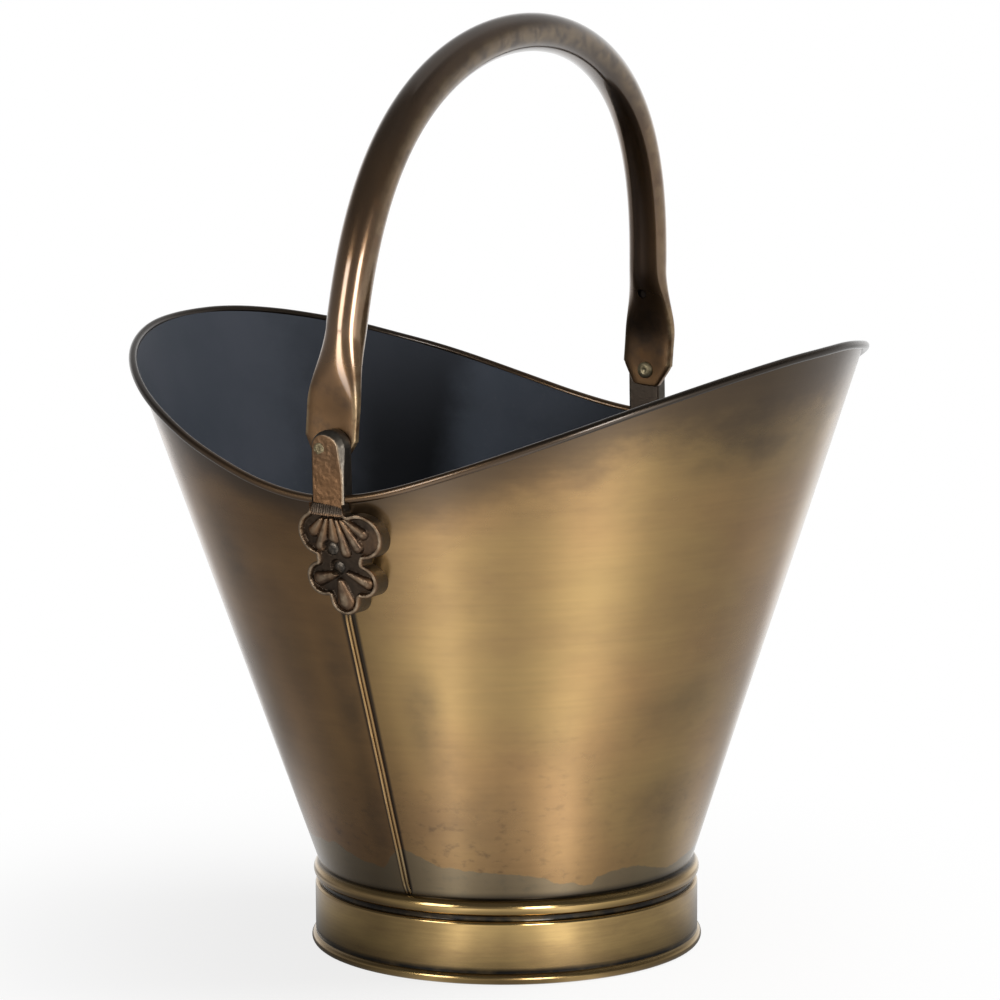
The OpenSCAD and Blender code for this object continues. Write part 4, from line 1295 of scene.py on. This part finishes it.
def makeHandle():
    h = handle
    half = halfLine()
    line = [(-y, w) for y, w in half] + half[-2::-1]
    points = []
    for i in range(len(line)):
        points += handleRing(line, i)
    n, rows = len(line), h["ring"]
    faces = gridFaces(n, rows, closeRows=True)
    faces += [tuple(range(rows)), tuple(range((n - 1) * rows, n * rows))]
    c, s = math.cos(h["tilt"]), math.sin(h["tilt"])
    p = np.array([tuple(q) for q in points])
    p = np.stack([p[:, 0] * c + p[:, 2] * s, p[:, 1], -p[:, 0] * s + p[:, 2] * c + h["pivotZ"]], 1)
    tube = meshPiece("handleTube", toWorld(p), faces, (handleBronze,), None, 35.0)
    ventY = archY(h["ventRise"]) - h["tubeH"] / 2 + 0.5

    def inFrame(x, y, w):
        return (x * c + w * s, y, -x * s + w * c + h["pivotZ"])

    cutters = []
    for name, start, end, w, radius in (("bore", -175, -140, 0, h["boreR"]),
                                        ("bore", 140, 175, 0, h["boreR"]),
                                        ("vent", ventY - 12, ventY + 5, h["ventRise"], h["ventR"])):
        cutters.append(shankPiece(name, inFrame(0, start, w), inFrame(0, end, w), radius,
                                  handleBronze))
    for cutter in cutters:
        cut = tube.modifiers.new("cut", "BOOLEAN")
        cut.operation = "DIFFERENCE"
        cut.solver = "EXACT"
        cut.object = cutter
    mesh = bpy.data.meshes.new_from_object(tube.evaluated_get(bpy.context.evaluated_depsgraph_get()))
    tube.modifiers.clear()
    tube.data = mesh
    mesh.name = "handleTube"
    for cutter in cutters:
        bpy.data.objects.remove(cutter)
    cleanMesh(mesh, 35.0)
    # worn streaks, soot and painted shade follow the tube: height above the pivot and the side that it
    # faces
    q = toBody(vertexPlaces(mesh))
    x, z = q[:, 0], q[:, 2] - h["pivotZ"]
    across = x * c - z * s
    rise = x * s + z * c
    flat = np.array([flatness(w) for w in rise])
    wide = h["tubeW"] / 2 + (h["flatW"] - h["tubeW"]) / 2 * flat
    worn = 0.9 * flat * smoothStep(np.abs(across) / wide, 0.80, 0.97)
    worn = np.maximum(worn, 0.35 * smoothStep(across / wide, 0.75, 1.0) * (1 - flat))
    sootAndShade = 0.68 * np.exp(-((rise - h["sootRise"]) / h["sootReach"]) ** 2) * (q[:, 1] > 0) \
        * smoothStep(-across, -12.0, 4.0)
    # the inside of the blind vent hole is painted near black: painted shade
    innerHalf = (q[:, 1] > 0) & (q[:, 1] < archY(h["ventRise"]))
    inVent = innerHalf & (np.hypot(across, rise - h["ventRise"]) < h["ventR"] + 0.1)
    sootAndShade = np.maximum(sootAndShade, inVent)
    floatAttribute(mesh, "worn", worn)
    floatAttribute(mesh, "sootAndShade", sootAndShade)
    floatAttribute(mesh, "flat", np.array([flatness(w, 20.0, 52.0) for w in rise]))
    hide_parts("handle")
    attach(tube, "handle")
    print("handle ready")


studio = {
    "camera": (1.20595, -2.0563, 0.6092), "forward": (-0.49906, 0.85205, -0.15794),
    "up": (-0.07584, 0.13862, 0.98744), "lens": 170.3, "sensor": 36.0, "clip": (0.1, 60.0),
    "floor": 14.0, "roof": (0.04, 0.50), "fill": (0.33, 0.33, 0.33), "target": (0.0, 0.0, 0.22),
    "lampDistance": 1.7,
    # name, turn, rise, width, height, watts, whether it lights surfaces, whether it shows in gloss
    "lamps": [("overhead", 92, 48, 1.1, 0.9, 31, True, False),
              ("overheadShine", 92, 48, 1.1, 0.9, 10, False, True),
              ("rightBox", 18, 4, 0.46, 0.68, 10, False, True),
              ("leftBox", -41, 10, 0.54, 0.66, 7, False, True)],
    # brightness that gloss sees, by turn about the object from the camera: turn, strength
    "walls": [(-180, 1.0), (-150, 1.0), (-132, 0.42), (-110, 0.26), (-60, 0.26), (-20, 0.28),
              (0, 0.30), (20, 0.28), (60, 0.20), (90, 0.22), (110, 0.34), (132, 0.55), (150, 1.0),
              (180, 1.0)],
    "ground": [(-180, 1.0), (-156, 1.0), (-142, 0.45), (-120, 0.26), (-95, 0.24), (-75, 0.24),
               (-55, 0.32), (-40, 0.60), (-29, 0.95), (-18, 1.45), (-9, 0.90), (4, 0.66), (15, 0.82),
               (24, 1.20), (33, 1.38), (42, 1.05), (52, 0.66), (68, 0.50), (88, 0.42), (106, 0.46),
               (132, 0.50), (154, 1.0), (180, 1.0)],
    "nearGround": [(-180, 1.0), (-155, 1.0), (-142, 0.62), (-120, 0.58), (-100, 0.40), (-80, 0.24),
                   (-60, 0.19), (-44, 0.30), (-32, 0.58), (-20, 1.35), (-12, 0.80), (0, 0.58),
                   (12, 0.80), (20, 1.40), (27, 1.60), (35, 0.90), (45, 0.56), (60, 0.42), (80, 0.38),
                   (100, 0.60), (128, 0.66), (152, 1.0), (180, 1.0)],
    "farGround": [(-180, 1.0), (-156, 1.0), (-142, 0.45), (-120, 0.26), (-55, 0.30), (-30, 0.45),
                  (10, 0.45), (22, 0.80), (30, 1.9), (40, 1.9), (50, 0.70), (88, 0.42), (130, 0.50),
                  (150, 1.0), (180, 1.0)],
}


def cameraTurn():
    return math.atan2(-studio["forward"][1], -studio["forward"][0])


def makeCamera():
    forward, up = Vector(studio["forward"]).normalized(), Vector(studio["up"])
    right = forward.cross(up).normalized()
    up = right.cross(forward)
    data = bpy.data.cameras.new("camera")
    data.lens, data.sensor_width = studio["lens"], studio["sensor"]
    data.clip_start, data.clip_end = studio["clip"]
    camera = linked("camera", data)
    turn = Matrix((right, up, -forward)).transposed().to_4x4()
    camera.matrix_world = Matrix.Translation(studio["camera"]) @ turn
    bpy.context.scene.camera = camera


def surround(board, parts, stopsWanted):
    # strength by turn about the object, seen from the camera's side
    turn = board.math("ARCTAN2", parts[1], parts[0]) - cameraTurn()
    share = board.math("FRACT", turn * (1 / (2 * math.pi)) + 0.5)
    return board.ramp(share, [(degrees / 360 + 0.5, strength) for degrees, strength in stopsWanted])


def makeWorld():
    world = bpy.data.worlds.new("studio")
    bpy.context.scene.world = world
    world.use_nodes = True
    board = Board(world.node_tree)
    parts = board.split(board.put("ShaderNodeTexCoord", None, "Generated"))
    # the room darkens overhead
    around = board.shaded(surround(board, parts, studio["walls"]),
                          parts[2].between(*studio["roof"], 1.0, 0.30))
    colour = board.mix(board.ray("Glossy"), studio["fill"], around)
    colour = board.mix(board.ray("Camera"), colour, (1, 1, 1))
    board.feed(world.node_tree.nodes["Background"].inputs["Color"], colour)


def makeFloor():
    size = studio["floor"]
    mesh = bpy.data.meshes.new("floor")
    mesh.from_pydata([(-size, -size, 0), (size, -size, 0), (size, size, 0), (-size, size, 0)], [],
                     [(0, 1, 2, 3)])
    floor = linked("floor", mesh)
    board = newFinish("paleFloor", Base_Color=(0.86, 0.86, 0.855, 1), Roughness=0.9,
                      Specular_IOR_Level=0.0)
    place = board.place()
    parts, far = board.split(place), board.length(place)
    # what gloss sees in the floor, from near the foot outwards: the floor glows for gloss rays,
    # painted light standing for the studio round the object
    seen = surround(board, parts, studio["nearGround"])
    seen = board.mix(far.between(0.19, 0.33), seen, surround(board, parts, studio["ground"]))
    seen = board.mix(far.between(0.50, 0.66), seen, surround(board, parts, studio["farGround"]))
    # darker near the foot: a painted shadow in what gloss sees
    seen = board.shaded(seen, far.between(0.095, 0.200, 0.42, 1.0))
    # what the camera sees: a soft shadow near the foot, white further out
    fade = board.ray("Camera") * far.between(0.11, 0.40, 0.80, 1.0)
    shader = Output(board, board.tree.nodes["Principled BSDF"].outputs[0])
    near = board.put("ShaderNodeMixShader", {0: fade, 1: shader,
                                             2: board.put("ShaderNodeEmission")})
    both = board.put("ShaderNodeMixShader", {
        0: board.ray("Glossy"), 1: near, 2: board.put("ShaderNodeEmission", {"Color": seen})})
    board.feed(board.tree.nodes["Material Output"].inputs["Surface"], both)
    mesh.materials.append(board.material)


def lampAt(name, turn, rise, width, height, watts, diffuse, gloss):
    # turn: degrees about the object from the camera's side, rise: degrees above level
    away, up = cameraTurn() + math.radians(turn), math.radians(rise)
    target = Vector(studio["target"])
    facing = -Vector((math.cos(away) * math.cos(up), math.sin(away) * math.cos(up), math.sin(up)))
    data = bpy.data.lights.new(name, "AREA")
    data.shape = "RECTANGLE"
    data.size, data.size_y, data.energy = width, height, watts
    lamp = linked(name, data)
    lamp.visible_diffuse, lamp.visible_glossy = diffuse, gloss
    lamp.matrix_world = Matrix.Translation(target - studio["lampDistance"] * facing) \
        @ facing.to_track_quat("-Z", "Y").to_matrix().to_4x4()


def makeLights():
    for lamp in studio["lamps"]:
        lampAt(*lamp)
    print("studio ready")


def dressWires():
    for name in ("front_rim_wire", "rear_rim_wire", "foot_wire"):
        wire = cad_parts[name]
        if wire.material_slots:
            for place in wire.material_slots:
                place.material = wireSteel
        else:
            wire.data.materials.append(wireSteel)


for make in (makeCamera, makeWorld, makeFloor, makeLights, makeBody, makeFoot, makeFloorPan,
             makeBrackets, makeRivets, makeHandle, dressWires):
    make()
bpy.context.scene.view_settings.view_transform = "Standard"
